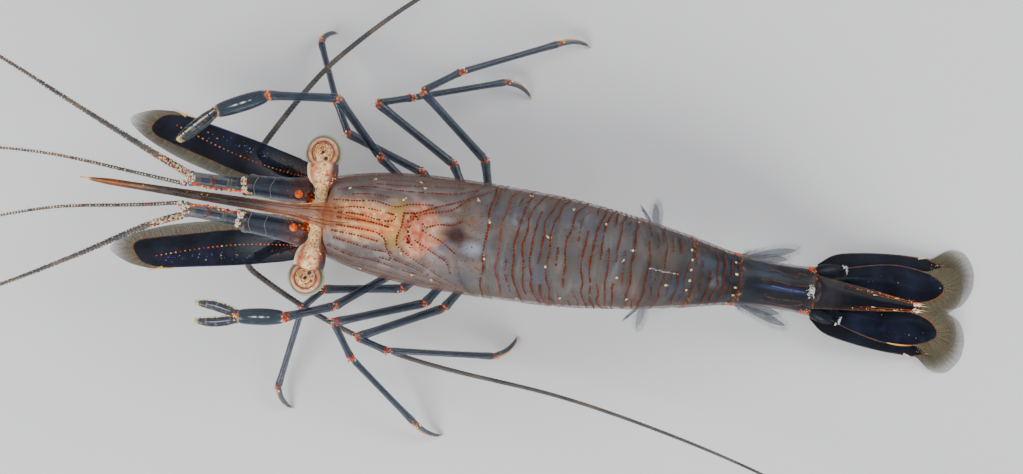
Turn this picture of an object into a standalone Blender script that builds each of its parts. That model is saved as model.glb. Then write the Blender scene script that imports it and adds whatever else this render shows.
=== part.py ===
"""Ghost shrimp, life size, standing on its walking legs and tail fan.

Lengths are in millimetres and turned to metres where a mesh is made. While it is built, the head
points to -X, the animal's right side is +Y, x = 0 is the eye sockets and the floor is z = 0. The
last step slides everything so that the origin is under the middle of the model.
"""

import math

import bmesh
import bpy
from mathutils import Matrix, Vector

MM = 0.001
SIDES = (("right", 1), ("left", -1))

# Driving dimensions
CUT = 0.10  # gap left between neighbouring pieces
BLADE = 0.50  # thickness of every fin, scale and paddle
FEELER_RADIUS = 0.25
WRIST = 0.25  # length of a claw leg past its last bend
SECTION_POINTS = 20

# The body from the eye sockets back to the end of the sixth tail segment:
# place along the body, height of the middle, half width, rise above the middle, drop below it
BODY = (
    (0.75, 6.20, 2.10, 1.75, 1.90),
    (1.8, 6.15, 2.50, 2.15, 2.35),
    (3.6, 6.05, 2.88, 2.55, 2.75),
    (6.0, 6.00, 3.10, 2.85, 2.85),
    (9.0, 6.05, 3.15, 2.95, 2.85),
    (12.0, 6.10, 3.10, 3.00, 2.80),
    (14.5, 6.00, 2.95, 2.95, 2.60),
    (17.6, 5.60, 2.55, 2.60, 2.30),
    (20.4, 5.00, 2.05, 2.05, 1.95),
    (23.1, 4.20, 1.50, 1.55, 1.50),
    (25.4, 3.40, 1.32, 1.30, 1.25),
    (27.7, 2.60, 1.38, 1.05, 1.05),
)
TOP_FULLNESS, BELLY_FULLNESS = 2.2, 2.7  # 2 is an ellipse, more is squarer

# Edges between the shell plates: place on the back, shift at the flank, shift along the lower rim
HEAD_EDGE = (0.75, 0.0, 0.0)
PLATE_EDGES = (
    (7.8, 1.4, 1.4),
    (9.6, 0.4, 0.2),
    (12.9, 0.2, 0.9),
    (17.6, 0.0, 0.3),
    (20.4, 0.0, 0.3),
    (23.1, 0.0, 0.2),
    (27.7, 0.0, 0.0),
)
PLATE_RINGS = (9, 3, 4, 5, 4, 4, 5)
RIM_ROUNDING = (0.0, 0.10, 0.16, 0.14, 0.16, 0.18, 0.0)  # how far each plate's lower rim curls up

# The face under the eye stalks: place along the body, half width, height of its top and of its foot
FACE = ((0.66, 1.75, 6.25, 3.35), (0.2, 1.75, 6.22, 3.4), (-0.22, 1.55, 6.15, 3.6))

EYE_CENTRE = (-0.2, 3.5, 6.6)
EYE_RADIUS = 1.02
EYE_CUT = 0.42  # how far inward of its centre the eye ends and its stalk begins
STALK_PROFILE = ((0.0, 0.27), (0.12, 0.33), (0.48, 0.36), (0.62, 0.58), (0.76, 0.78), (0.90, 0.84), (1.0, 0.80))

# Each leg from the body to its last joint: right side first, then left.
LEG_JOINTS = {
    "maxilliped": (
        ((3.6, 0.75, 3.1), (3.4, 0.8, 2.8), (1.4, 0.9, 2.65), (-1.6, 0.8, 3.0), (-4.4, 0.6, 3.9)),
        ((3.6, -0.75, 3.1), (3.4, -0.8, 2.8), (1.4, -0.9, 2.65), (-1.6, -0.8, 3.0), (-4.4, -0.6, 3.9)),
    ),
    "feeding_leg": (
        ((4.7, 1.1, 3.0), (4.6, 1.3, 2.6), (3.2, 1.7, 2.2), (0.4, 2.0, 2.0), (-1.7, 1.7, 2.9)),
        ((4.7, -1.1, 3.0), (4.6, -1.3, 2.6), (3.2, -1.7, 2.2), (0.4, -2.0, 2.0), (-1.7, -1.7, 2.9)),
    ),
    "claw_leg": (
        ((5.9, 1.2, 3.0), (5.8, 1.5, 2.6), (2.8, 3.67, 3.6), (0.1, 6.47, 5.0), (-3.7, 6.0, 5.7)),
        ((5.9, -1.2, 3.0), (5.8, -1.5, 2.6), (4.3, -2.8, 2.9), (1.62, -4.9, 4.0), (-0.95, -5.88, 5.2)),
    ),
    "walking_leg_1": (
        (
            (7.2, 1.2, 3.0), (7.1, 1.5, 2.6), (5.2, 3.2, 2.4), (0.8, 4.7, 2.8), (-0.1, 6.4, 3.2),
            (-1.6, 9.6, 1.0),
        ),
        (
            (7.2, -1.2, 3.0), (7.1, -1.5, 2.6), (5.1, -3.4, 2.4), (0.8, -4.1, 2.9), (-0.2, -5.3, 3.0),
            (-1.0, -10.0, 1.0),
        ),
    ),
    "walking_leg_2": (
        (
            (8.3, 1.2, 3.0), (8.3, 1.5, 2.6), (6.9, 3.9, 2.5), (2.2, 6.6, 3.6), (4.0, 7.2, 2.9),
            (9.1, 9.0, 1.0),
        ),
        (
            (8.3, -1.2, 3.0), (8.2, -1.5, 2.6), (6.5, -4.0, 2.6), (1.7, -5.8, 3.9), (2.9, -7.6, 3.2),
            (6.9, -10.8, 1.0),
        ),
    ),
    "walking_leg_3": (
        (
            (9.3, 1.2, 3.0), (9.4, 1.5, 2.6), (8.6, 4.4, 2.6), (4.6, 7.6, 4.5), (6.5, 9.0, 3.7),
            (11.7, 11.6, 1.0),
        ),
        (
            (9.3, -1.2, 3.0), (9.3, -1.5, 2.6), (7.6, -4.1, 2.6), (3.1, -6.4, 4.3), (4.8, -6.9, 3.6),
            (10.8, -6.4, 1.0),
        ),
    ),
}
# Where each walking leg stands, as the middle of its foot on the floor.
FEET = {
    "walking_leg_1": ((-0.8, 10.3), (0.0, -11.1)),
    "walking_leg_2": ((10.6, 8.3), (8.6, -11.3)),
    "walking_leg_3": ((13.5, 11.7), (11.9, -5.1)),
}
LEG_RADII = {
    "maxilliped": (0.28, 0.30, 0.32, 0.30, 0.25),
    "feeding_leg": (0.27, 0.27, 0.26, 0.25, 0.25),
    "claw_leg": (0.30, 0.30, 0.27, 0.26, 0.34),
    "walking_leg_1": (0.30, 0.30, 0.28, 0.26, 0.25, 0.25),
    "walking_leg_2": (0.30, 0.30, 0.28, 0.26, 0.25, 0.25),
    "walking_leg_3": (0.30, 0.30, 0.28, 0.26, 0.25, 0.25),
}

# The big claws: end of the palm, tip of the fixed finger, tip of the moving finger, palm radius
BIG_CLAWS = (
    ((-6.35, 4.66, 6.05), (-8.1, 2.75, 5.75), (-8.15, 2.8, 6.25), 0.48),
    ((-3.55, -6.24, 5.3), (-5.8, -6.8, 5.3), (-5.9, -5.85, 5.4), 0.48),
)
PALM_PROFILE = ((0.0, 0.62), (0.12, 0.82), (0.35, 1.0), (0.65, 1.0), (0.88, 0.86), (1.0, 0.62))
FINGER_OFFSET = 0.27
FINGER_RADII = (0.24, 0.25, 0.22, 0.10)
# The small claws of the feeding legs: end of the palm, and the tips of the two fingers
SMALL_CLAWS = (
    ((-2.7, 1.5, 2.7), (-3.5, 1.15, 2.2), (-3.6, 1.6, 2.4)),
    ((-2.7, -1.5, 2.7), (-3.5, -1.15, 2.2), (-3.6, -1.6, 2.4)),
)

# Feelers, each from its base to its tip: right side, then left.
ANTENNULE_STEM = (
    (-0.5, 0.78, 5.7), (-1.2, 0.78, 5.95), (-3.1, 0.78, 5.95), (-4.3, 0.78, 5.9), (-7.2, 0.85, 5.85),
)
ANTENNULE_STEM_RADII = (0.40, 0.48, 0.46, 0.38, 0.38)
ANTENNULE_OUTER = (
    (
        (-7.3, 1.1, 5.8), (-9.3, 1.9, 5.9), (-13.3, 3.6, 6.0), (-18.6, 5.9, 6.2), (-24.0, 8.0, 6.4),
        (-28.0, 9.2, 6.4),
    ),
    (
        (-7.3, -1.2, 5.8), (-9.2, -2.1, 5.8), (-12.8, -4.3, 5.4), (-16.7, -6.5, 4.6),
        (-22.0, -9.1, 3.9), (-26.0, -10.6, 3.6),
    ),
)
ANTENNULE_INNER = (
    (
        (-7.3, 0.5, 5.8), (-10.0, 0.7, 5.8), (-14.5, 1.0, 5.8), (-17.8, 0.9, 5.9), (-22.0, 0.4, 6.0),
        (-26.0, -0.4, 6.0),
    ),
    (
        (-7.3, -0.5, 5.8), (-9.7, -1.0, 5.8), (-14.1, -1.8, 5.8), (-17.3, -2.8, 5.7),
        (-21.5, -4.3, 5.5), (-25.3, -6.0, 5.3),
    ),
)
ANTENNA_STEM = (
    ((-0.35, 1.45, 4.1), (-2.3, 2.05, 4.0), (-3.3, 2.4, 3.85)),
    ((-0.35, -1.45, 4.1), (-2.0, -2.1, 4.0), (-3.0, -2.85, 3.7)),
)
ANTENNA_STEM_RADII = (0.40, 0.42, 0.36)
ANTENNA_FLAGELLUM = (
    (
        (-3.42, 2.44, 3.83), (-3.8, 2.75, 3.75), (-3.75, 3.2, 3.65), (-1.8, 6.7, 3.5), (-0.3, 8.8, 3.4),
        (2.9, 12.1, 3.4), (7.0, 15.4, 3.5), (12.0, 18.3, 3.7), (18.0, 20.6, 3.9), (25.0, 22.2, 4.1),
        (32.5, 23.0, 4.3),
    ),
    (
        (-3.1, -2.93, 3.68), (-3.45, -3.2, 3.6), (-3.45, -3.5, 3.4), (-2.6, -4.05, 3.1), (-0.5, -5.1, 2.5),
        (1.65, -5.95, 2.3), (4.8, -6.95, 2.1), (8.0, -7.45, 2.1), (14.7, -8.0, 2.6), (20.5, -9.0, 3.0),
        (26.2, -10.4, 3.3), (34.0, -12.9, 3.7), (41.5, -15.6, 4.0),
    ),
)
ANTENNA_LENGTHS = 3  # each long feeler is parted into this many lengths

# Flat outlines, as distance from the base and distance to the outer side; SHARP marks a corner
SHARP = "sharp"
SCALE_OUTLINE = (
    (0.0, -0.35, SHARP), (0.0, 0.40, SHARP), (0.8, 0.90, SHARP), (3.6, 1.05), (6.9, 1.05), (8.7, 1.2, SHARP),
    (8.6, 0.85, SHARP), (10.0, 0.50), (10.75, -0.35), (9.7, -0.95), (7.1, -1.45), (4.4, -1.50), (2.0, -1.10),
    (0.8, -0.55),
)
SCALE_BASE, SCALE_YAW = (-0.35, 1.7, 4.95), 11.0
TELSON_OUTLINE = (
    (0.0, -0.95, SHARP), (0.0, 0.95, SHARP), (3.2, 0.60), (5.9, 0.25, SHARP),
    (6.35, 0.0, SHARP), (5.9, -0.25, SHARP), (3.2, -0.60),
)
ENDOPOD_OUTLINE = (
    (0.0, -0.3, SHARP), (0.0, 0.3, SHARP), (2.0, 0.90), (4.5, 1.20), (6.6, 0.8), (7.5, 0.05), (6.7, -0.7),
    (4.5, -0.88), (2.0, -0.5),
)
EXOPOD_OUTLINE = (
    (0.0, -0.35, SHARP), (0.05, 0.35, SHARP), (1.0, 0.92), (2.4, 1.12), (4.4, 1.18), (6.4, 1.12, SHARP),
    (6.35, 0.98, SHARP), (7.4, 0.65), (7.85, 0.0), (7.2, -0.8), (5.2, -1.1), (2.4, -0.75),
)
FAN_SLOPE = math.atan(0.195)
FAN_STEP = BLADE + 0.12  # height from one layer of the fan to the next
TELSON_BASE = (27.95, 0.0, 2.90)
ENDOPOD_BASE, ENDOPOD_YAWS = (28.0, 0.6), (5.0, 5.5)
EXOPOD_BASE, EXOPOD_YAWS = (27.95, 1.2), (5.0, 4.6)

# Paddles under the tail: where each hangs, and the way to its tip, on the right side
PADDLES = (
    ((10.7, 1.15, 3.1), (1.7, 0.7, -2.2)),
    ((12.4, 1.15, 3.1), (0.9, 0.9, -2.5)),
    ((15.4, 1.15, 3.1), (-0.3, 1.1, -2.5)),
    ((19.0, 1.1, 2.95), (-0.9, 2.2, -2.0)),
    ((22.2, 0.95, 2.6), (4.4, 0.95, -1.7)),
)
PADDLE_OUTLINE = (
    (0.0, -0.28, SHARP), (0.0, 0.28, SHARP), (0.32, 0.34), (0.62, 0.62), (0.90, 0.55), (1.0, 0.30),
    (0.80, 0.0), (0.88, -0.30), (0.72, -0.55), (0.40, -0.40),
)  # lengths here are shares of the paddle's length

COLOURS = {  # base colour, roughness
    "shell": ((0.36, 0.35, 0.36), 0.35),
    "rostrum": ((0.45, 0.30, 0.16), 0.35),
    "stalk": ((0.78, 0.62, 0.50), 0.40),
    "eye": ((0.80, 0.70, 0.58), 0.15),
    "limb": ((0.20, 0.27, 0.36), 0.30),
    "claw": ((0.16, 0.30, 0.42), 0.25),
    "feeler": ((0.42, 0.34, 0.28), 0.40),
    "fin": ((0.13, 0.16, 0.26), 0.25),
}


def clear_scene():
    for obj in list(bpy.data.objects):
        bpy.data.objects.remove(obj, do_unlink=True)


def make_material(name):
    colour, roughness = COLOURS[name]
    material = bpy.data.materials.new(name)
    material.use_nodes = True
    shader = material.node_tree.nodes["Principled BSDF"]
    shader.inputs["Base Color"].default_value = (*colour, 1.0)
    shader.inputs["Roughness"].default_value = roughness
    shader.inputs["Metallic"].default_value = 0.0
    material.diffuse_color = (*colour, 1.0)
    return material


def add_object(name, data, material):
    obj = bpy.data.objects.new(name, data)
    data.materials.append(bpy.data.materials[material])
    bpy.data.collections["ghost_shrimp"].objects.link(obj)
    return obj


def smooth_table(table, place):
    """The row of a table at a place between its rows, on a smooth curve through them."""
    count = len(table)
    here = max(i for i in range(count - 1) if table[i][0] <= max(place, table[0][0]))
    rows = [table[min(max(here + k, 0), count - 1)] for k in (-1, 0, 1, 2)]
    span = rows[2][0] - rows[1][0]
    share = min(max((place - rows[1][0]) / span, 0.0), 1.0)
    values = []
    for column in range(1, len(table[0])):
        before, start, end, after = (row[column] for row in rows)
        lead = (end - before) / max(rows[2][0] - rows[0][0], 1e-6) * span
        tail = (after - start) / max(rows[3][0] - rows[1][0], 1e-6) * span
        square, cube = share**2, share**3
        values.append(
            (2 * cube - 3 * square + 1) * start
            + (cube - 2 * square + share) * lead
            + (3 * square - 2 * cube) * end
            + (cube - square) * tail
        )
    return values


def body_point(place, angle, lift=0.0):
    """A point on the body: angle 0 is the back, 90 degrees the right flank. Lift raises the belly."""
    middle, half_width, rise, drop = smooth_table(BODY, place)
    ahead, behind = smooth_table(BODY, place + 0.3)[0], smooth_table(BODY, place - 0.3)[0]
    tilt = math.atan2(ahead - behind, 0.6)
    across, up = math.sin(angle), math.cos(angle)
    power = 2 / (TOP_FULLNESS if up > 0 else BELLY_FULLNESS)
    side = math.copysign(abs(across) ** power, across) * half_width
    height = abs(up) ** power * (rise if up > 0 else -drop * (1 - lift))
    return Vector((place - height * math.sin(tilt), side, middle + height * math.cos(tilt)))


def plate_edge(edge, angle):
    """Where an edge between two plates runs, at this angle round the body."""
    back, flank_shift, rim_shift = edge
    flank = abs(math.sin(angle / 2)) ** 2
    flank = min(2 * flank, 1.0)
    rim = min(max(-math.cos(angle) * 2, 0.0), 1.0)
    return back + flank_shift * flank + (rim_shift - flank_shift) * rim


def loft(name, rings, material):
    """A closed solid through rings of points, with each end closed to its middle."""
    count = len(rings[0])
    points = [point for ring in rings for point in ring]
    faces = []
    for i in range(len(rings) - 1):
        for k in range(count):
            a, b = i * count + k, i * count + (k + 1) % count
            faces.append((a, b, b + count, a + count))
    for ring, first, flip in ((rings[0], 0, True), (rings[-1], (len(rings) - 1) * count, False)):
        centre = len(points)
        points.append(sum(ring, Vector()) / count)
        for k in range(count):
            face = (first + k, first + (k + 1) % count, centre)
            faces.append(face[::-1] if flip else face)
    mesh = bpy.data.meshes.new(name)
    mesh.from_pydata([point * MM for point in points], [], faces)
    work = bmesh.new()
    work.from_mesh(mesh)
    bmesh.ops.recalc_face_normals(work, faces=work.faces)
    work.to_mesh(mesh)
    work.free()
    mesh.shade_smooth()
    mesh.set_sharp_from_angle(angle=math.radians(40))
    return add_object(name, mesh, material)


def body_plate(name, front, rear, rings, rounding):
    """The stretch of the body between two plate edges, its lower rim curling up towards both."""
    angles = [2 * math.pi * k / SECTION_POINTS for k in range(SECTION_POINTS)]
    made = []
    for i in range(rings + 1):
        share = i / rings
        lift = rounding * (2 * share - 1) ** 2
        ring = []
        for angle in angles:
            start, end = plate_edge(front, angle) + CUT / 2, plate_edge(rear, angle) - CUT / 2
            ring.append(body_point(start + (end - start) * share, angle, lift))
        made.append(ring)
    return loft(name, made, "shell")


def curve_tube(name, points, radii, material, resolution=1):
    """A tube as a poly curve, with its own radius at each point."""
    data = bpy.data.curves.new(name, "CURVE")
    data.dimensions = "3D"
    data.bevel_depth = MM
    data.bevel_resolution = resolution
    data.use_fill_caps = True
    spline = data.splines.new("POLY")
    spline.points.add(len(points) - 1)
    for target, point, radius in zip(spline.points, points, radii):
        target.co = (*(Vector(point) * MM), 1.0)
        target.radius = radius
    return add_object(name, data, material)


def rounded_path(joints, radii, bend=0.42, steps=3):
    """Straight limb segments with their corners rounded, and the radius at each point of the path."""
    joints = [Vector(joint) for joint in joints]
    path, widths = [joints[0]], [radii[0]]
    for i in range(1, len(joints) - 1):
        before, here, after = joints[i - 1 : i + 2]
        room = min(bend, 0.4 * (here - before).length, 0.4 * (after - here).length)
        start = here + (before - here).normalized() * room
        end = here + (after - here).normalized() * room
        for k in range(steps + 1):
            share = k / steps
            path.append(start.lerp(here, share).lerp(here.lerp(end, share), share))
            widths.append(radii[i])
    return path + [joints[-1]], widths + [radii[-1]]


def smooth_path(points, steps):
    """Points on a smooth curve through the given ones, this many to each stretch."""
    table = [(i, *point) for i, point in enumerate(points)]
    last = len(points) - 1
    return [Vector(smooth_table(table, last * k / (last * steps))) for k in range(last * steps + 1)]


def toward(start, end, distance):
    """The point at a distance from the start on the way to the end."""
    start, end = Vector(start), Vector(end)
    return start + (end - start).normalized() * distance


def to_mesh(obj):
    """Turns a curve object into a mesh object of the same name, with its caps welded."""
    name, material = obj.name, obj.data.materials[0].name
    graph = bpy.context.evaluated_depsgraph_get()
    mesh = bpy.data.meshes.new_from_object(obj.evaluated_get(graph))
    mesh.transform(obj.matrix_world)
    bpy.data.objects.remove(obj, do_unlink=True)
    work = bmesh.new()
    work.from_mesh(mesh)
    bmesh.ops.remove_doubles(work, verts=work.verts, dist=1e-7)
    bmesh.ops.recalc_face_normals(work, faces=work.faces)
    work.to_mesh(mesh)
    work.free()
    mesh.materials.clear()
    made = add_object(name, mesh, material)
    made.name = name
    return made


def union(base, other):
    """Joins another mesh object to the first one, and removes it."""
    modifier = base.modifiers.new("join", "BOOLEAN")
    modifier.operation = "UNION"
    modifier.object = other
    graph = bpy.context.evaluated_depsgraph_get()
    mesh = bpy.data.meshes.new_from_object(base.evaluated_get(graph))
    base.modifiers.clear()
    base.data = mesh
    bpy.data.objects.remove(other, do_unlink=True)


def slice_off(obj, point, outward):
    """Cuts away what lies beyond a plane, and closes the cut with one flat face."""
    work = bmesh.new()
    work.from_mesh(obj.data)
    geometry = [*work.verts, *work.edges, *work.faces]
    cut = bmesh.ops.bisect_plane(
        work, geom=geometry, plane_co=Vector(point) * MM, plane_no=outward, clear_outer=True, dist=1e-8
    )
    rim = [item for item in cut["geom_cut"] if isinstance(item, bmesh.types.BMEdge)]
    bmesh.ops.contextual_create(work, geom=rim)
    bmesh.ops.recalc_face_normals(work, faces=work.faces)
    work.to_mesh(obj.data)
    work.free()


def blade(name, outline, matrix, material, scale=(1.0, 1.0)):
    """A flat fin: a smooth closed outline, extruded to its thickness and laid in place."""
    data = bpy.data.curves.new(name, "CURVE")
    data.dimensions = "2D"
    data.fill_mode = "BOTH"
    data.extrude = BLADE / 2 * MM
    data.resolution_u = 3
    spline = data.splines.new("BEZIER")
    spline.bezier_points.add(len(outline) - 1)
    for target, (along, out, *corner) in zip(spline.bezier_points, outline):
        target.co = (along * scale[0] * MM, out * scale[1] * MM, 0.0)
        target.handle_left_type = target.handle_right_type = "VECTOR" if corner else "AUTO"
    spline.use_cyclic_u = True
    obj = add_object(name, data, material)
    obj.matrix_world = matrix
    bpy.context.view_layer.update()
    return to_mesh(obj)


def laid(base, along, across):
    """The matrix that puts a fin's base at a point, its length along one way and its width near another."""
    along = Vector(along).normalized()
    across = (Vector(across) - along * along.dot(Vector(across))).normalized()
    normal = along.cross(across)
    matrix = Matrix((along, across, normal)).transposed().to_4x4()
    matrix.translation = Vector(base) * MM
    return matrix


def build_body():
    names = ["carapace"] + [f"tail_segment_{k}" for k in range(1, 7)]
    edges = (HEAD_EDGE, *PLATE_EDGES)
    for i, name in enumerate(names):
        body_plate(name, edges[i], edges[i + 1], PLATE_RINGS[i], RIM_ROUNDING[i])


def build_face():
    angles = [2 * math.pi * k / 16 for k in range(16)]
    rings = []
    for x, half_width, top, foot in FACE:
        half_height, middle = (top - foot) / 2, (top + foot) / 2
        ring = [
            Vector((
                x,
                math.copysign(abs(math.sin(a)) ** 0.8, math.sin(a)) * half_width,
                middle + math.copysign(abs(math.cos(a)) ** 0.8, math.cos(a)) * half_height,
            ))
            for a in angles
        ]
        rings.append(ring)
    loft("face", rings, "shell")


def rostrum_profile():
    """The beak's side view: a row of teeth above, a few below, and a fine point slightly raised."""
    length, root = 12.8, (0.6, 7.62)
    top_teeth, low_teeth = 7, 3

    def axis(share):
        sag = 0.15 * math.sin(math.pi * share) - 0.35 * share**2
        return root[0] - (length + root[0]) * share, root[1] - sag

    def depth(share):
        return 0.12 + 0.42 * math.cos(math.pi / 2 * share) ** 0.8

    top, low = [], []
    for k in range(top_teeth):
        for share, tooth in ((k / (top_teeth + 1), 0.0), ((k + 0.85) / (top_teeth + 1), 0.22)):
            x, z = axis(share)
            top.append((x, z + depth(share) * 0.8 + tooth))
    for k in range(low_teeth):
        for share, tooth in ((0.25 + 0.16 * k, 0.0), (0.25 + 0.16 * (k + 0.85), 0.2)):
            x, z = axis(share)
            low.append((x, z - depth(share) * 0.8 - tooth))
    tip, base = axis(1.0), axis(0.0)
    start = (base[0], base[1] - depth(0.0) * 0.5)
    return [start, *low, (tip[0], tip[1] - 0.08), (tip[0], tip[1] + 0.08), *reversed(top)]


def build_rostrum():
    """The beak: its side profile cut from a plate, thinned towards the tip."""
    profile = rostrum_profile()
    mesh = bpy.data.meshes.new("rostrum")
    work = bmesh.new()
    face = work.faces.new([work.verts.new((x * MM, -MM / 2, z * MM)) for x, z in profile])
    pulled = bmesh.ops.extrude_face_region(work, geom=[face])
    moved = [item for item in pulled["geom"] if isinstance(item, bmesh.types.BMVert)]
    bmesh.ops.translate(work, verts=moved, vec=(0.0, MM, 0.0))
    bmesh.ops.recalc_face_normals(work, faces=work.faces)
    for vertex in work.verts:
        share = min(max(-vertex.co.x / MM / 12.8, 0.0), 1.0)
        vertex.co.y *= 1.0 - 0.6 * share**0.6
    bmesh.ops.triangulate(work, faces=work.faces)
    work.to_mesh(mesh)
    work.free()
    add_object("rostrum", mesh, "rostrum")


def build_eyes():
    for side, sign in SIDES:
        centre = Vector((EYE_CENTRE[0], EYE_CENTRE[1] * sign, EYE_CENTRE[2]))
        root = Vector((0.22, 0.36 * sign, 6.72))
        inward = (root - centre).normalized()
        mesh = bpy.data.meshes.new(f"eye_{side}")
        work = bmesh.new()
        bmesh.ops.create_uvsphere(work, u_segments=16, v_segments=9, radius=EYE_RADIUS * MM)
        bmesh.ops.translate(work, verts=work.verts, vec=centre * MM)
        work.to_mesh(mesh)
        work.free()
        eye = add_object(f"eye_{side}", mesh, "eye")
        slice_off(eye, centre + inward * EYE_CUT, inward)
        build_eyestalk(side, root, centre, inward)


def build_eyestalk(side, root, centre, inward):
    """A narrow neck that widens into the cup that holds the eye."""
    end = centre + inward * (EYE_CUT + CUT)
    across = inward.cross(Vector((0, 0, 1))).normalized()
    upward = across.cross(inward)
    rings = []
    for share, radius in STALK_PROFILE:
        middle = root.lerp(end, share)
        angles = [2 * math.pi * k / 12 for k in range(12)]
        rings.append([middle + (across * math.cos(a) + upward * math.sin(a)) * radius for a in angles])
    loft(f"eyestalk_{side}", rings, "stalk")


def build_antennules():
    for i, (side, sign) in enumerate(SIDES):
        stem = [(x, y * sign, z) for x, y, z in ANTENNULE_STEM]
        curve_tube(f"antennule_stem_{side}", stem, ANTENNULE_STEM_RADII, "limb", resolution=2)
        for part, routes in (("outer", ANTENNULE_OUTER), ("inner", ANTENNULE_INNER)):
            path = smooth_path(routes[i], 3)
            curve_tube(f"antennule_{part}_feeler_{side}", path, [FEELER_RADIUS] * len(path), "feeler")


def build_antennae():
    for i, (side, sign) in enumerate(SIDES):
        curve_tube(f"antenna_stem_{side}", ANTENNA_STEM[i], ANTENNA_STEM_RADII, "limb", resolution=2)
        yaw = math.radians(SCALE_YAW)
        along = (-math.cos(yaw), math.sin(yaw) * sign, 0.0)
        x, y, z = SCALE_BASE
        matrix = laid((x, y * sign, z), along, (0.0, sign, 0.0))
        blade(f"antenna_scale_{side}", SCALE_OUTLINE, matrix, "fin")
        path = smooth_path(ANTENNA_FLAGELLUM[i], 4)
        share = len(path) // ANTENNA_LENGTHS
        for k in range(ANTENNA_LENGTHS):
            last = len(path) if k == ANTENNA_LENGTHS - 1 else (k + 1) * share + 1
            length = [point.copy() for point in path[k * share : last]]
            if k:
                length[0] = toward(length[0], length[1], CUT)
            curve_tube(f"antenna_feeler_{side}_{k + 1}", length, [FEELER_RADIUS] * len(length), "feeler")


def build_legs():
    for limb, pair in LEG_JOINTS.items():
        for i, (side, _) in enumerate(SIDES):
            joints, radii = list(pair[i]), list(LEG_RADII[limb])
            if limb in FEET:
                x, y = FEET[limb][i]
                joints.append((x, y, -0.1))
                radii.append(FEELER_RADIUS)
            if limb == "claw_leg":
                joints.append(toward(joints[-1], BIG_CLAWS[i][0], WRIST))
                radii.append(radii[-1])
            path, widths = rounded_path(joints, radii)
            leg = to_mesh(curve_tube(f"{limb}_{side}", path, widths, "limb"))
            if limb in FEET:
                slice_off(leg, (0, 0, 0), (0, 0, -1))
            if limb == "feeding_leg":
                add_small_claw(leg, joints[-1], SMALL_CLAWS[i])
            if limb == "claw_leg":
                build_big_claw(side, joints[-1], BIG_CLAWS[i])


def add_small_claw(leg, wrist, claw):
    """The feeding leg's hand, joined to it: a short palm that parts into two fine fingers."""
    palm_end, *tips = (Vector(point) for point in claw)
    wrist = Vector(wrist)
    pieces = [(wrist.lerp(palm_end, -0.1), wrist.lerp(palm_end, 0.4), palm_end)]
    pieces += [(wrist.lerp(palm_end, 0.7), palm_end.lerp(tip, 0.3), tip) for tip in tips]
    sizes = ((0.23, 0.30, 0.27), (0.20, 0.16, 0.11), (0.20, 0.16, 0.11))
    for piece, size in zip(pieces, sizes):
        union(leg, to_mesh(curve_tube("hand_piece", piece, size, "limb")))


def build_big_claw(side, wrist, claw):
    """The palm with its fixed finger is one piece, and the moving finger is another."""
    palm_end, fixed_tip, moving_tip = (Vector(point) for point in claw[:3])
    radius, wrist = claw[3], Vector(wrist)
    start = toward(wrist, palm_end, CUT)
    points = [start.lerp(palm_end, share) for share, _ in PALM_PROFILE]
    sizes = [radius * size for _, size in PALM_PROFILE]
    palm = to_mesh(curve_tube(f"claw_{side}", points, sizes, "claw", resolution=2))
    parting = (moving_tip - fixed_tip).normalized() * FINGER_OFFSET
    fingers = (("fixed", fixed_tip, -parting, -0.25), ("moving", moving_tip, parting, 0.14))
    for name, tip, offset, first in fingers:
        base = palm_end + offset
        bow = offset * 0.4
        points = [base.lerp(tip, first), base.lerp(tip, 0.4) + bow, base.lerp(tip, 0.8) + bow * 0.5, tip]
        finger = to_mesh(curve_tube(f"claw_{name}_finger_{side}", points, FINGER_RADII, "claw"))
        if name == "fixed":
            union(palm, finger)


def build_tail_fan():
    down = Vector((math.cos(FAN_SLOPE), 0.0, -math.sin(FAN_SLOPE)))
    blade("telson", TELSON_OUTLINE, laid(TELSON_BASE, down, (0, 1, 0)), "fin")
    for i, (side, sign) in enumerate(SIDES):
        layers = (
            ("endopod", ENDOPOD_OUTLINE, ENDOPOD_BASE, ENDOPOD_YAWS, 1),
            ("exopod", EXOPOD_OUTLINE, EXOPOD_BASE, EXOPOD_YAWS, 2),
        )
        for name, outline, (x, y), yaws, layer in layers:
            yaw = math.radians(yaws[i])
            along = (math.cos(yaw), math.sin(yaw) * sign, -math.tan(FAN_SLOPE))
            matrix = laid((x, y * sign, TELSON_BASE[2] - layer * FAN_STEP), along, (0, sign, 0))
            fin = blade(f"{name}_{side}", outline, matrix, "fin")
            if name == "exopod":
                slice_off(fin, (0, 0, 0), (0, 0, -1))


def build_paddles():
    for k, (root, way) in enumerate(PADDLES):
        for side, sign in SIDES:
            base = (root[0], root[1] * sign, root[2])
            along = Vector((way[0], way[1] * sign, way[2]))
            length = along.length
            matrix = laid(base, along, (0.0, sign, 0.0))
            blade(f"paddle_{k + 1}_{side}", PADDLE_OUTLINE, matrix, "fin", scale=(length, 1.15))


def centre_on_origin():
    """Slides every piece so that the origin lies on the floor, under the middle of the whole model."""
    bpy.context.view_layer.update()
    graph = bpy.context.evaluated_depsgraph_get()
    low, high = Vector((1e9,) * 3), Vector((-1e9,) * 3)
    nodes = list(bpy.data.collections["ghost_shrimp"].objects)
    for obj in nodes:
        mesh = obj.evaluated_get(graph).to_mesh()
        for vertex in mesh.vertices:
            point = obj.matrix_world @ vertex.co
            low, high = (Vector(map(pick, ends, point)) for pick, ends in ((min, low), (max, high)))
    middle = (low + high) / 2
    for obj in nodes:
        obj.location -= Vector((middle.x, middle.y, 0.0))


def main():
    clear_scene()
    collection = bpy.data.collections.new("ghost_shrimp")
    bpy.context.scene.collection.children.link(collection)
    for name in COLOURS:
        make_material(name)
    build_body()
    build_face()
    build_rostrum()
    build_eyes()
    build_antennules()
    build_antennae()
    build_legs()
    build_tail_fan()
    build_paddles()
    centre_on_origin()


main()
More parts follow.
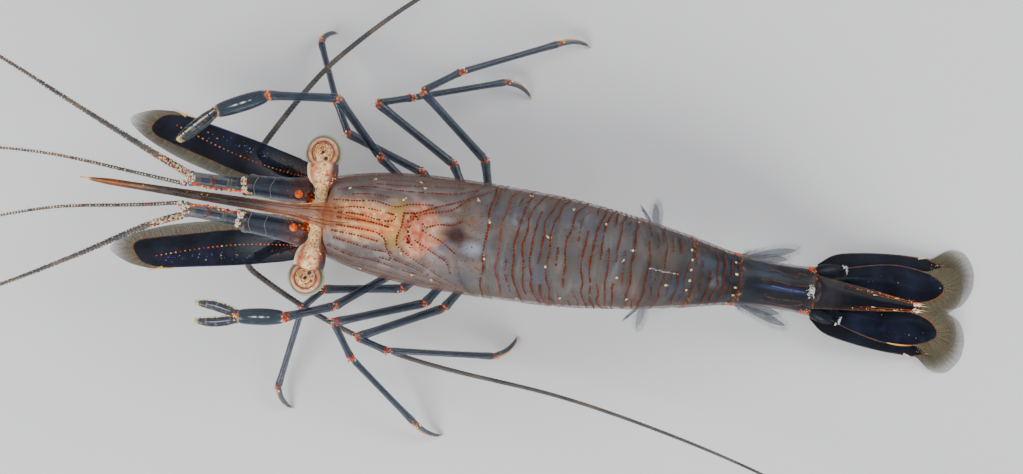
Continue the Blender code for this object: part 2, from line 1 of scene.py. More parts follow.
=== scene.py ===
"""The looks of a life-size ghost shrimp: clear shell over pale flesh, lines of red-brown dots, stalked
eyes, glassy blue limbs with orange joints, ringed feelers and a dark, clear tail fan with a fringe.

Lengths below are in millimetres, in the animal's own frame: the head points to -X, its right side is
+Y, x = 0 is the eye sockets and z = 0 is the floor. place() turns them to the frame's metres.
"""

import math
import random

import bpy
import numpy as np
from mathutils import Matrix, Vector, noise


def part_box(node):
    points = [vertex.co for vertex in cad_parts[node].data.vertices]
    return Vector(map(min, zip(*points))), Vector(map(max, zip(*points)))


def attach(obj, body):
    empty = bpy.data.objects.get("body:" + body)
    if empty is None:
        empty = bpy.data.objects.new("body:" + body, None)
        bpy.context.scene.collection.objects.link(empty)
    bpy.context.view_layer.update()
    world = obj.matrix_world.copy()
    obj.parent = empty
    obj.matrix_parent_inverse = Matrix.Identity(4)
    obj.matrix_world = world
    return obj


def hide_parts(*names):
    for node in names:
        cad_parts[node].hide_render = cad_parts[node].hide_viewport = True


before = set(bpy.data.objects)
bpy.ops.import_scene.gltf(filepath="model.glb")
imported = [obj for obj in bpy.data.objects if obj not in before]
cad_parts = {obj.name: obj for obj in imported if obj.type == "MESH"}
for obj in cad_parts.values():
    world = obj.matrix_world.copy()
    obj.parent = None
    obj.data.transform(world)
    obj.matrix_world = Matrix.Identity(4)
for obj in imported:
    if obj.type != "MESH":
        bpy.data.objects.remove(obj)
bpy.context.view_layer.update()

MM = 0.001
SIDES = (("right", 1), ("left", -1))
BEAK_REACH = 12.8  # from the eye sockets to the tip of the beak
HEAD_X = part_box("rostrum")[0].x / MM + BEAK_REACH
MIDDLE_Y = (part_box("eye_right")[1].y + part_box("eye_left")[0].y) / 2 / MM
UP = Vector((0.0, 0.0, 1.0))
REARWARD = Vector((1.0, 0.0, 0.0))

# ---------------------------------------------------------------- shape of the animal
# The body: place along it, height of the middle, half width, rise above the middle, drop below it
BODY = (
    (0.75, 6.20, 2.26, 1.75, 1.90),
    (1.8, 6.15, 2.54, 2.15, 2.35),
    (3.6, 6.05, 2.88, 2.55, 2.75),
    (6.0, 6.00, 3.10, 2.85, 2.85),
    (9.0, 6.05, 3.15, 2.95, 2.85),
    (12.0, 6.10, 3.10, 3.00, 2.80),
    (14.5, 6.00, 2.95, 2.95, 2.60),
    (17.6, 5.60, 2.55, 2.60, 2.30),
    (20.4, 5.00, 2.05, 2.05, 1.95),
    (23.1, 4.20, 1.50, 1.55, 1.50),
    (25.4, 3.40, 1.32, 1.30, 1.25),
    (27.7, 2.60, 1.38, 1.05, 1.05),
)
TOP_FULLNESS, BELLY_FULLNESS = 2.2, 2.7
# Edges between the shell plates: place on the back, shift at the flank, shift along the lower rim
HEAD_EDGE = (0.75, 0.0, 0.0)
PLATE_EDGES = (
    (7.8, 1.4, 1.4),
    (9.6, 0.4, 0.2),
    (12.9, 0.2, 0.9),
    (17.6, 0.0, 0.3),
    (20.4, 0.0, 0.3),
    (23.1, 0.0, 0.2),
    (27.7, 0.0, 0.0),
)
SHELL = 0.06  # thickness of a plate
FLESH_INSET = 0.17

EYE_CENTRES = {"right": Vector((-0.08, 3.34, 6.6)), "left": Vector((0.0, -3.5, 6.6))}
EYE_RADIUS = 1.02


def both_sides(*points):
    """Points on the right side, and their mirror image on the left."""
    return points, tuple((x, -y, z) for x, y, z in points)


# Joints of each limb, from the hip outward, on the right and on the left
LEG_JOINTS = {
    "maxilliped": both_sides(
        (3.6, 0.75, 3.1), (3.4, 0.8, 2.8), (1.4, 0.9, 2.65), (-1.6, 0.8, 3.0), (-4.4, 0.6, 3.9)
    ),
    "feeding_leg": both_sides(
        (4.7, 1.1, 3.0), (4.6, 1.3, 2.6), (3.2, 1.7, 2.2), (0.4, 2.0, 2.0), (-1.7, 1.7, 2.9)
    ),
    "claw_leg": (
        ((5.9, 1.2, 3.0), (5.8, 1.5, 2.6), (2.8, 3.67, 3.6), (0.1, 6.47, 5.0), (-3.7, 6.0, 5.7)),
        ((5.9, -1.2, 3.0), (5.8, -1.5, 2.6), (4.3, -2.8, 2.9), (1.62, -4.9, 4.0), (-0.95, -5.88, 5.2)),
    ),
    "walking_leg_1": (
        (
            (7.2, 1.2, 3.0), (7.1, 1.5, 2.6), (5.2, 3.2, 2.4), (0.8, 4.7, 2.8), (-0.1, 6.4, 3.2),
            (-1.6, 9.6, 1.0),
        ),
        (
            (7.2, -1.2, 3.0), (7.1, -1.5, 2.6), (5.1, -3.4, 2.4), (0.8, -4.1, 2.9), (-0.2, -5.3, 3.0),
            (-1.0, -10.0, 1.0),
        ),
    ),
    "walking_leg_2": (
        (
            (8.3, 1.2, 3.0), (8.3, 1.5, 2.6), (6.9, 3.9, 2.5), (2.2, 6.6, 3.6), (4.0, 7.2, 2.9),
            (9.1, 9.0, 1.0),
        ),
        (
            (8.3, -1.2, 3.0), (8.2, -1.5, 2.6), (6.5, -4.0, 2.6), (1.7, -5.8, 3.9), (2.9, -7.6, 3.2),
            (6.9, -10.8, 1.0),
        ),
    ),
    "walking_leg_3": (
        (
            (9.3, 1.2, 3.0), (9.4, 1.5, 2.6), (8.6, 4.4, 2.6), (4.6, 7.6, 4.5), (6.5, 9.0, 3.7),
            (11.7, 11.6, 1.0),
        ),
        (
            (9.3, -1.2, 3.0), (9.3, -1.5, 2.6), (7.6, -4.1, 2.6), (3.1, -6.4, 4.3), (4.8, -6.9, 3.6),
            (10.8, -6.4, 1.0),
        ),
    ),
}
FEET = {
    "walking_leg_1": ((-0.8, 10.3), (0.0, -11.1)),
    "walking_leg_2": ((10.6, 8.3), (8.6, -11.3)),
    "walking_leg_3": ((13.5, 11.7), (11.9, -5.1)),
}
# Radius of each limb segment, from the hip outward
SEGMENT_RADII = {
    "maxilliped": (0.22, 0.26, 0.25, 0.21),
    "feeding_leg": (0.22, 0.21, 0.19, 0.17),
    "claw_leg": (0.25, 0.25, 0.24, 0.26),
    **{f"walking_leg_{k}": (0.25, 0.25, 0.26, 0.22, 0.19) for k in (1, 2, 3)},
}
# Ends of the palm, the fixed finger and the moving finger, and the palm's half width
BIG_CLAWS = (
    ((-6.35, 4.66, 6.05), (-8.1, 2.75, 5.75), (-8.15, 2.8, 6.25), 0.48),
    ((-3.55, -6.24, 5.3), (-5.8, -6.8, 5.3), (-5.9, -5.85, 5.4), 0.48),
)
SMALL_CLAWS = both_sides((-2.7, 1.5, 2.7), (-3.5, 1.15, 2.2), (-3.6, 1.6, 2.4))

# The antennule's stretches: radius at both ends, flatness and opacity
ANTENNULE_SIZES = ((0.92, 0.54, 0.44, 0.78), (0.44, 0.42, 0.8, 0.85), (0.42, 0.40, 0.85, 0.85))
FEELER_RING = 0.22  # from one ring of a feeler to the next
ANTENNULE_OUTER = (
    (
        (-7.3, 1.1, 5.8), (-9.3, 1.9, 5.9), (-13.3, 3.6, 6.0), (-18.6, 5.9, 6.2), (-24.0, 8.0, 6.4),
        (-28.0, 9.2, 6.4),
    ),
    (
        (-7.3, -1.2, 5.8), (-9.2, -2.1, 5.8), (-12.8, -4.3, 5.4), (-16.7, -6.5, 4.6), (-22.0, -9.1, 3.9),
        (-26.0, -10.6, 3.6),
    ),
)
ANTENNULE_INNER = (
    (
        (-7.3, 0.5, 5.8), (-10.0, 0.7, 5.8), (-14.5, 1.0, 5.8), (-17.8, 0.9, 5.9), (-22.0, 0.4, 6.0),
        (-26.0, -0.4, 6.0),
    ),
    (
        (-7.3, -0.5, 5.8), (-9.7, -1.0, 5.8), (-14.1, -1.8, 5.8), (-17.3, -2.8, 5.7), (-21.5, -4.3, 5.5),
        (-25.3, -6.0, 5.3),
    ),
)
ANTENNA_STEM = (
    ((-0.35, 1.45, 4.1), (-2.3, 2.05, 4.0), (-3.4, 2.43, 3.84)),
    ((-0.35, -1.45, 4.1), (-2.0, -2.1, 4.0), (-3.1, -2.93, 3.7)),
)
ANTENNA_FLAGELLUM = (
    (
        (-3.42, 2.44, 3.83), (-3.8, 2.75, 3.75), (-3.75, 3.2, 3.65), (-1.8, 6.7, 3.5), (-0.3, 8.8, 3.4),
        (2.9, 12.1, 3.4), (7.0, 15.4, 3.5), (12.0, 18.3, 3.7), (18.0, 20.6, 3.9), (25.0, 22.2, 4.1),
        (32.5, 23.0, 4.3),
    ),
    (
        (-3.1, -2.93, 3.68), (-3.45, -3.2, 3.6), (-3.45, -3.5, 3.4), (-2.6, -4.05, 3.1), (-0.5, -5.1, 2.5),
        (1.65, -5.95, 2.3), (4.8, -6.95, 2.1), (8.0, -7.45, 2.1), (14.7, -8.0, 2.6), (20.5, -9.0, 3.0),
        (26.2, -10.4, 3.3), (34.0, -12.9, 3.7), (41.5, -15.6, 4.0),
    ),
)

# Flat outlines, as distance from the base and distance to the outer side; SHARP marks a corner
SHARP = "sharp"
SCALE_OUTLINE = (
    (0.0, -0.35, SHARP), (0.0, 0.40, SHARP), (0.8, 0.90, SHARP), (3.6, 1.05), (6.9, 1.05),
    (8.7, 1.05, SHARP),
    (9.9, 0.66), (10.85, -0.12), (10.1, -0.72), (8.6, -1.14), (6.8, -1.38), (4.4, -1.42), (2.0, -1.10),
    (0.8, -0.55),
)
SCALE_CORE = (
    (0.0, -0.30, SHARP), (0.0, 0.38, SHARP), (0.8, 0.88, SHARP), (3.6, 1.03), (6.9, 1.03), (8.2, 0.96),
    (9.1, 0.68), (9.6, -0.10), (9.3, -0.52), (8.2, -0.68), (6.0, -0.82), (4.0, -0.92), (2.0, -0.75),
    (0.8, -0.45),
)
SCALE_BASE, SCALE_YAW, SCALE_TOOTH = (-0.35, 1.7, 4.95), 11.0, (8.0, 8.95, 1.2)
TELSON_OUTLINE = (
    (0.0, -0.95, SHARP), (0.0, 0.95, SHARP), (3.2, 0.60), (5.9, 0.25, SHARP),
    (6.35, 0.0, SHARP), (5.9, -0.25, SHARP), (3.2, -0.60),
)
ENDOPOD_OUTLINE = (
    (0.0, -0.3, SHARP), (0.0, 0.3, SHARP), (2.0, 0.90), (4.5, 1.20), (6.6, 0.8), (7.5, 0.05), (6.7, -0.7),
    (4.5, -0.88), (2.0, -0.5),
)
EXOPOD_OUTLINE = (
    (0.0, -0.35, SHARP), (0.05, 0.35, SHARP), (1.0, 0.92), (2.4, 1.12), (4.4, 1.18), (6.4, 1.08, SHARP),
    (7.4, 0.65), (7.85, 0.0), (7.2, -0.8), (5.2, -1.1), (2.4, -0.75),
)
EXOPOD_TOOTH = (5.9, 6.6, 1.14)
FAN_SLOPE = math.atan(0.195)
FAN_STEP = 0.62
TELSON_BASE = (27.95, 0.0, 2.90)
ENDOPOD_BASE, ENDOPOD_YAWS = (28.0, 0.6), (5.0, 5.5)
EXOPOD_BASE, EXOPOD_YAWS = (27.95, 1.2), (5.0, 4.6)

PADDLES = (
    ((10.7, 1.15, 3.1), (1.7, 0.7, -2.2)),
    ((12.4, 1.15, 3.1), (0.9, 0.9, -2.5)),
    ((15.4, 1.15, 3.1), (-0.3, 1.1, -2.5)),
    ((19.0, 1.1, 2.95), (-0.9, 2.2, -2.0)),
    ((22.2, 0.95, 2.6), (4.4, 0.95, -1.7)),
)
LEAF_OUTLINE = ((0.0, -0.10), (0.0, 0.10), (0.3, 0.26), (0.7, 0.30), (1.0, 0.0), (0.7, -0.26), (0.3, -0.22))


# ---------------------------------------------------------------- colours
def srgb(red, green, blue):
    """A colour given as it looks on a screen, from 0 to 255, as the shaders' linear values."""
    values = (red / 255, green / 255, blue / 255)
    return tuple(v / 12.92 if v <= 0.04045 else ((v + 0.055) / 1.055) ** 2.4 for v in values)


FLESH = srgb(124, 114, 110)
FLESH_BLUE = srgb(92, 88, 85)
FLESH_REAR = srgb(22, 29, 36)
STOMACH = srgb(255, 112, 50)
GLAND = srgb(190, 150, 62)
PINK = srgb(220, 136, 98)
DARK_SPOT = srgb(50, 12, 14)
SHELL_TINT = srgb(96, 86, 80)
SHELL_DARK = srgb(44, 50, 58)
FLANK = srgb(108, 82, 66)
RUST = srgb(124, 42, 4)
BROWN = srgb(76, 32, 6)
AMBER = srgb(204, 112, 40)
GOLD = srgb(232, 180, 92)
CREAM = srgb(236, 214, 168)
WHITE = srgb(232, 232, 226)
ORANGE = srgb(240, 70, 16)
LIMB = srgb(40, 52, 70)
# The limbs' underside colour is painted shade, and their edge colour is a painted highlight
LIMB_UNDERSIDE_SHADE = srgb(18, 26, 42)
LIMB_EDGE_HIGHLIGHT = srgb(130, 140, 152)
NAVY = srgb(20, 26, 42)
NAVY_DEEP = srgb(10, 13, 24)
PALE = srgb(168, 164, 152)
OLIVE = srgb(82, 76, 58)
TEAL = srgb(24, 44, 60)
VIOLET = srgb(72, 62, 128)
BEAK_LINES = (
    (-0.66, -8.2, 1.3, (RUST, BROWN)), (-0.38, -9.6, 2.2, (RUST, BROWN)), (0.36, -9.0, 2.4, (RUST, BROWN)),
    (0.64, -8.6, 1.4, (RUST, BROWN)), (-0.95, -4.3, 0.45, (GOLD, AMBER)), (0.95, -4.3, 0.45, (GOLD, AMBER)),
)
CARAPACE_ROUTES = (
    ((0.9, 1.9), (2.4, 2.3), (4.4, 2.55), (6.5, 2.75), (8.4, 2.9)),
    ((3.0, 2.15), (4.6, 2.28), (6.2, 2.48), (7.8, 2.62)),
    ((1.0, 1.55), (2.4, 1.9), (4.0, 1.95), (5.6, 2.05), (7.4, 2.25), (8.6, 2.6)),
    ((1.8, 1.4), (2.8, 1.55), (3.9, 1.5)),
    ((0.9, 0.95), (2.0, 1.05), (3.0, 1.2), (4.2, 1.05), (5.0, 1.3), (6.3, 1.45)),
    ((1.0, 0.5), (2.0, 0.72), (3.2, 0.72), (4.3, 0.6)),
    ((1.2, 0.3), (2.2, 0.35), (3.4, 0.22), (4.2, 0.28), (4.35, 0.65)),
    ((1.2, 0.0), (2.4, 0.05), (3.3, 0.0), (4.0, -0.1)),
    ((4.75, 0.78), (4.72, 0.1), (4.55, -0.6), (4.6, -1.0)),
    ((4.8, 0.78), (5.6, 0.95), (6.6, 1.4), (7.6, 1.8), (8.6, 2.3), (9.3, 2.7)),
    ((6.0, 0.95), (6.8, 1.15), (7.4, 1.35), (8.2, 2.0)),
    ((5.9, 0.35), (6.1, 0.2), (6.8, 0.45), (7.6, 0.55), (8.1, 0.85)),
    ((5.95, 0.0), (6.6, -0.25), (7.2, -0.5), (7.9, -0.95)),
    ((5.6, -0.6), (6.3, -0.9), (7.0, -1.25), (7.5, -1.5), (7.8, -2.1)),
    ((4.6, -1.02), (5.5, -1.55), (6.4, -1.95), (7.2, -2.3), (8.4, -2.75)),
    ((1.2, -0.4), (2.4, -0.42), (3.4, -0.5), (3.9, -0.8), (4.1, -1.3), (4.5, -1.55)),
    ((1.0, -0.75), (2.2, -0.8), (3.5, -0.95)),
    ((1.0, -1.1), (2.3, -1.3), (3.4, -1.45), (4.2, -1.5), (4.35, -1.85), (3.7, -1.8)),
    ((0.9, -1.6), (2.2, -1.95), (3.6, -2.05), (5.0, -2.3), (6.6, -2.5), (8.2, -2.85)),
    ((4.6, -1.8), (5.6, -2.05), (6.6, -2.35)),
    ((1.0, -2.0), (2.4, -2.3), (4.2, -2.5), (6.0, -2.75), (7.6, -2.9)),
)
SEGMENT_LOOPS = (
    ((24.2, 8.0), (25.0, 10.0), (26.0, 7.0), (27.1, 8.0)),
    ((24.5, 34.0), (25.2, 38.0), (25.6, 30.0), (26.3, 29.0), (26.5, 40.0), (27.0, 37.0)),
    ((24.1, 62.0), (25.3, 64.0), (26.6, 60.0)),
    ((24.6, -22.0), (24.9, -30.0), (25.8, -31.0), (26.8, -28.0)),
    ((24.3, -38.0), (25.0, -47.0), (26.0, -49.0), (26.7, -42.0), (26.9, -33.0)),
    ((24.1, -70.0), (25.2, -72.0), (26.4, -68.0)),
    ((24.4, 88.0), (25.4, 92.0), (26.6, 86.0)),
    ((24.4, -94.0), (25.4, -97.0), (26.6, -92.0)),
)
CREAM_SPOTS = (
    (4.6, 1.5), (2.9, 2.4), (5.7, 2.3), (5.4, 2.6), (8.7, 2.1), (9.5, 1.0), (9.5, -1.0), (6.8, -2.6),
    (4.9, -1.4), (2.8, -2.6), (5.7, -2.5), (12.6, 0.7), (12.7, -0.9), (13.7, 2.4), (11.4, 2.8),
    (13.7, -2.5),
    (11.5, -2.9), (16.9, 0.7), (16.5, 0.1), (16.3, -0.9), (17.2, 2.3), (17.1, -2.0), (3.1, 0.5), (1.6, 1.7),
    (20.1, 1.25), (20.15, 0.7), (20.15, 0.15), (20.15, -0.45), (20.1, -1.0), (22.7, 0.95), (22.75, 0.3),
    (22.8, -0.45), (22.8, -0.9), (15.4, 1.9), (18.9, -0.9),
)


def mix(first, second, share):
    """A colour between two others."""
    share = min(max(share, 0.0), 1.0)
    return tuple(a + (b - a) * share for a, b in zip(first, second))


def cover(shade, *coats):
    """A colour under coats of other colours, each with its share."""
    for tint, share in coats:
        shade = mix(shade, tint, share)
    return shade


def smooth(low, high, value):
    """0 below low, 1 above high, and smoothly between them."""
    share = min(max((value - low) / (high - low), 0.0), 1.0)
    return share * share * (3 - 2 * share)


def blot(x, y, centre, radii, soft=0.5):
    """How far a point is inside a soft oval blot, from 0 to 1."""
    away = math.hypot((x - centre[0]) / radii[0], (y - centre[1]) / radii[1])
    return 1 - smooth(1 - soft, 1 + soft, away)


def ripple(x, y, z, scale, seed=0.0):
    """Smooth noise between -1 and 1."""
    return noise.noise(Vector((x / scale, y / scale, z / scale + seed)))


# ---------------------------------------------------------------- points, paths and outlines
def place(point):
    """A point of the animal's frame, in millimetres, as the shared frame's metres."""
    return Vector(((point[0] + HEAD_X) * MM, (point[1] + MIDDLE_Y) * MM, point[2] * MM))


def curve_weights(share):
    """How much the start, its lead, the end and its lead count at a share of a smooth stretch."""
    square, cube = share**2, share**3
    return 2 * cube - 3 * square + 1, cube - 2 * square + share, 3 * square - 2 * cube, cube - square


def smooth_table(table, where):
    """The row of a table at a place between its rows, on a smooth curve through them."""
    count = len(table)
    here = max(i for i in range(count - 1) if table[i][0] <= max(where, table[0][0]))
    rows = [table[min(max(here + k, 0), count - 1)] for k in (-1, 0, 1, 2)]
    span = rows[2][0] - rows[1][0]
    weights = curve_weights(min(max((where - rows[1][0]) / span, 0.0), 1.0))
    values = []
    for column in range(1, len(table[0])):
        before, start, end, after = (row[column] for row in rows)
        lead = (end - before) / max(rows[2][0] - rows[0][0], 1e-6) * span
        tail = (after - start) / max(rows[3][0] - rows[1][0], 1e-6) * span
        values.append(sum(weight * value for weight, value in zip(weights, (start, lead, end, tail))))
    return values


def smooth_path(points, count):
    """This many points, about evenly spaced, on a smooth curve through the given ones."""
    lengths = [0.0]
    for first, second in zip(points, points[1:]):
        lengths.append(lengths[-1] + (Vector(second) - Vector(first)).length)
    table = [(length, *point) for length, point in zip(lengths, points)]
    return [Vector(smooth_table(table, lengths[-1] * k / (count - 1))) for k in range(count)]


def straight_path(start, end, steps):
    """Points at even steps along a straight line, both ends among them."""
    return [start.lerp(end, k / steps) for k in range(steps + 1)]


def path_length(points):
    """How long a path is from its first point to its last."""
    return sum((b - a).length for a, b in zip(points, points[1:]))


def body_point(where, angle, inset=0.0):
    """A point on the body, in degrees from the back round the right flank, sunk below the shell."""
    middle, half_width, rise, drop = smooth_table(BODY, where)
    ahead, behind = smooth_table(BODY, where + 0.3)[0], smooth_table(BODY, where - 0.3)[0]
    tilt = math.atan2(ahead - behind, 0.6)
    across, up = math.sin(math.radians(angle)), math.cos(math.radians(angle))
    power = 2 / (TOP_FULLNESS if up > 0 else BELLY_FULLNESS)
    side = math.copysign(abs(across) ** power, across) * (half_width - inset)
    height = abs(up) ** power * (rise - inset if up > 0 else inset - drop)
    return Vector((where - height * math.sin(tilt), side, middle + height * math.cos(tilt)))


def body_normal(where, angle):
    """The way out of the body at a point on it."""
    along = body_point(where + 0.05, angle) - body_point(where - 0.05, angle)
    around = body_point(where, angle + 1.0) - body_point(where, angle - 1.0)
    normal = around.cross(along).normalized()
    outward = body_point(where, angle) - Vector((where, 0.0, smooth_table(BODY, where)[0]))
    return normal * (-1 if around.cross(along).dot(outward) < 0 else 1)


def plate_edge(edge, angle):
    """Where an edge between two plates runs, at this angle round the body."""
    back, flank_shift, rim_shift = edge
    flank = min(2 * math.sin(math.radians(angle) / 2) ** 2, 1.0)
    rim = min(max(-math.cos(math.radians(angle)) * 2, 0.0), 1.0)
    return back + flank_shift * flank + (rim_shift - flank_shift) * rim


def smooth_outline(outline, steps=8):
    """The closed outline as a fine polygon, rounded but for its sharp corners."""
    count = len(outline)
    points = [Vector(row[:2]) for row in outline]
    sharp = [len(row) > 2 for row in outline]
    made = []
    for i in range(count):
        before, start, end, after = (points[(i + k) % count] for k in (-1, 0, 1, 2))
        lead = (end - start) if sharp[i] else (end - before) / 2
        tail = (end - start) if sharp[(i + 1) % count] else (after - start) / 2
        for k in range(steps):
            weights = curve_weights(k / steps)
            parts = (weight * value for weight, value in zip(weights, (start, lead, end, tail)))
            made.append(sum(parts, Vector((0, 0))))
    return made


def outline_span(polygon, along):
    """The lowest and highest crossing of a polygon at a distance along it."""
    hits = []
    for first, second in zip(polygon, polygon[1:] + polygon[:1]):
        if (first.x - along) * (second.x - along) <= 0 and first.x != second.x:
            hits.append(first.y + (second.y - first.y) * (along - first.x) / (second.x - first.x))
    return (min(hits), max(hits)) if hits else (0.0, 0.0)


def axes_along(path):
    """For each point of a path, the way it goes and two ways across it that don't twist."""
    rows = []
    side = None
    for i, point in enumerate(path):
        way = (path[min(i + 1, len(path) - 1)] - path[max(i - 1, 0)]).normalized()
        if side is None:
            side = way.cross(UP)
            side = side.normalized() if side.length > 1e-3 else REARWARD
        side = (side - way * side.dot(way)).normalized()
        rows.append((point, way, side, side.cross(way)))
    return rows


def across_axes(way):
    """A way made one unit long, and the level and upright ways across it."""
    way = way.normalized()
    side = way.cross(UP).normalized()
    return way, side, side.cross(way)


def any_way(draw, lowest):
    """A way at random, no lower than this height before it's made one unit long."""
    return Vector((draw.uniform(-1, 1), draw.uniform(-1, 1), draw.uniform(lowest, 1))).normalized()


def tilted(turn):
    """The way up, leaning to the rear by an angle."""
    return Vector((math.sin(turn), 0.0, math.cos(turn)))


# ---------------------------------------------------------------- building meshes
class Shape:
    """Gathers one piece: points with a tint, an opacity and pattern coordinates, and faces with a material.

    In the calls that add a form, slot is the number of its material in the piece's own list.
    """

    def __init__(self):
        self.points, self.tints, self.lines, self.measures = [], [], [], []
        self.faces, self.slots = [], []

    def add_point(self, point, tint, alpha=1.0, line=(0.0, 0.0), measure=(1.0, 0.0)):
        self.points.append(place(point))
        self.tints.append((*tint, alpha))
        self.lines.append(line)
        self.measures.append(measure)
        return len(self.points) - 1

    def add_ring(self, centre, side, up, sides, tint, alpha=1.0):
        """Points round an oval whose half axes are side and up."""
        turns = [2 * math.pi * k / sides for k in range(sides)]
        return [self.add_point(centre + side * math.cos(t) + up * math.sin(t), tint, alpha) for t in turns]

    def add_face(self, corners, slot=0):
        self.faces.append(tuple(corners))
        self.slots.append(slot)

    def add_fan(self, ring, middle, slot=0, flip=False):
        """Triangles from a closed ring of points to the one in its middle."""
        for k, corner in enumerate(ring):
            face = (corner, ring[(k + 1) % len(ring)], middle)
            self.add_face(face[::-1] if flip else face, slot)

    def add_sheet(self, rows, slot=0, around=False, flip=False):
        """Quads between rows of point numbers; around closes each row on itself."""
        for first, second in zip(rows, rows[1:]):
            last = len(first) if around else len(first) - 1
            for k in range(last):
                corners = (first[k], first[(k + 1) % len(first)], second[(k + 1) % len(first)], second[k])
                self.add_face(corners[::-1] if flip else corners, slot)

    def add_slab(self, top, bottom, slot=0, flip=False):
        """A closed slab between two grids of point numbers; flip is which way round its top's quads go."""
        ends = [([grid[k] for grid in (top, bottom)], flip == (k == -1)) for k in (0, -1)]
        sides = [([[row[k] for row in grid] for grid in (top, bottom)], flip == (k == 0)) for k in (0, -1)]
        for sheet, turned in [(top, flip), (bottom, not flip)] + ends + sides:
            self.add_sheet(sheet, slot, flip=turned)

    def add_tube(self, path, radii, sides, slot, paint, flat=1.0):
        """A closed tube; paint(share, way) gives a point's tint and opacity, flat squashes its height."""
        rows = []
        total = max(path_length(path), 1e-9)
        gone = 0.0
        for i, ((point, _, side, up), radius) in enumerate(zip(axes_along(path), radii)):
            gone += (point - path[i - 1]).length if i else 0.0
            row = []
            for k in range(sides):
                turn = 2 * math.pi * k / sides
                offset = side * math.cos(turn) * radius + up * math.sin(turn) * radius * flat
                tint, alpha = paint(gone / total, offset / max(radius, 1e-9))
                row.append(self.add_point(point + offset, tint, alpha, (gone, abs(k / sides * 2 - 1))))
            rows.append(row)
        self.add_sheet(rows, slot, around=True, flip=True)
        for row, centre, flip in ((rows[0], path[0], False), (rows[-1], path[-1], True)):
            *tint, alpha = self.tints[row[0]]
            middle = self.add_point(centre, tint, alpha, self.lines[row[0]], self.measures[row[0]])
            self.add_fan(row, middle, slot, flip)

    def add_spike(self, root, tip, radius, tint, alpha=1.0, slot=0, sides=4):
        """A fine cone, for a spine or a tooth."""
        way = tip - root
        side = way.cross(UP if abs(way.z) < 0.9 * way.length else REARWARD).normalized()
        up = side.cross(way).normalized()
        ring = self.add_ring(root, side * radius, up * radius, sides, tint, alpha)
        self.add_fan(ring, self.add_point(tip, tint, alpha), slot, flip=True)
        self.add_face(ring, slot)

    def add_hair(self, root, way, length, radius, tint, alpha=1.0, slot=0):
        """A straight hair, slimmer from halfway and drawn out to a point."""
        path = [root, root + way * length * 0.5, root + way * length]
        rings = []
        for (point, _, side, up), size in zip(axes_along(path), (radius, radius * 0.75)):
            rings.append(self.add_ring(point, side * size, up * size, 3, tint, alpha))
        self.add_sheet(rings, slot, around=True, flip=True)
        self.add_fan(rings[1], self.add_point(path[2], tint, alpha), slot, flip=True)
        self.add_face(rings[0], slot)

    def add_blob(self, centre, normal, radius, height, tint, slot=0, sides=8):
        """A low round grain that sits on a surface, with its underside just below it."""
        normal = normal.normalized()
        side = normal.orthogonal().normalized()
        up = normal.cross(side)
        rings = []
        for share, lift in ((1.0, 0.0), (0.62, 0.75)):
            size = radius * share
            middle = centre + normal * height * lift
            rings.append(self.add_ring(middle, side * size, up * size, sides, tint))
        self.add_sheet(rings, slot, around=True)
        self.add_fan(rings[1], self.add_point(centre + normal * height, tint), slot)
        self.add_fan(rings[0], self.add_point(centre - normal * height * 0.5, tint), slot, flip=True)

    def add_dot(self, centre, normal, radius, height, tint, slot=0, along=None):
        """A flat oval grain on a surface, long along a given way, with its underside just below it."""
        side = (along or normal.orthogonal()).normalized()
        ring = self.add_ring(centre, side * radius * 1.15, normal.cross(side) * radius, 7, tint)
        self.add_fan(ring, self.add_point(centre + normal * height, tint), slot)
        self.add_fan(ring, self.add_point(centre - normal * height, tint), slot, flip=True)

    def add_ball(self, centre, radii, rings, sides, slot, paint):
        """An egg with its own half sizes; paint(way) gives a tint and an opacity."""
        rows = []
        for i in range(1, rings):
            polar = math.pi * i / rings
            row = []
            for k in range(sides):
                turn = 2 * math.pi * k / sides
                aside = math.sin(polar)
                way = Vector((aside * math.cos(turn), aside * math.sin(turn), math.cos(polar)))
                point = centre + Vector(w * r for w, r in zip(way, radii))
                row.append(self.add_point(point, *paint(way), (polar, turn)))
            rows.append(row)
        self.add_sheet(rows, slot, around=True, flip=True)
        for row, sign in ((rows[0], 1), (rows[-1], -1)):
            way = Vector((0.0, 0.0, sign))
            self.add_fan(row, self.add_point(centre + way * radii[2], *paint(way)), slot, flip=sign < 0)

    def make(self, name, materials, slot="shell", nodes=None, coat=None):
        """The finished piece, in the materials named and on the body; slot is not used.

        It stands for the CAD nodes given, or for the one of its own name. coat is a place on the skin's
        own shape for each point of a piece of hair.
        """
        mesh = bpy.data.meshes.new(name)
        mesh.from_pydata(self.points, [], self.faces)
        for title in materials.split():
            mesh.materials.append(MATERIALS[title])
        mesh.polygons.foreach_set("material_index", self.slots)
        corners = np.empty(len(mesh.loops), np.int32)
        mesh.loops.foreach_get("vertex_index", corners)
        maps = [("lines", self.lines), ("measures", self.measures)] + ([("OFBake", coat)] if coat else [])
        for title, values in maps:
            layer = mesh.uv_layers.new(name=title)
            layer.uv.foreach_set("vector", np.array(values, np.float32)[corners].ravel())
        tint = mesh.color_attributes.new("tint", "FLOAT_COLOR", "POINT")
        tint.data.foreach_set("color", np.array(self.tints, np.float32).ravel())
        mesh.shade_smooth()
        mesh.update()
        piece = add_object(name, mesh)
        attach(piece, "root")
        nodes = [name] if nodes is None else nodes
        if nodes:
            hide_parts(*nodes)


def add_object(name, data):
    """A new object of the scene with this mesh, lamp or camera."""
    made = bpy.data.objects.new(name, data)
    bpy.context.scene.collection.objects.link(made)
    return made


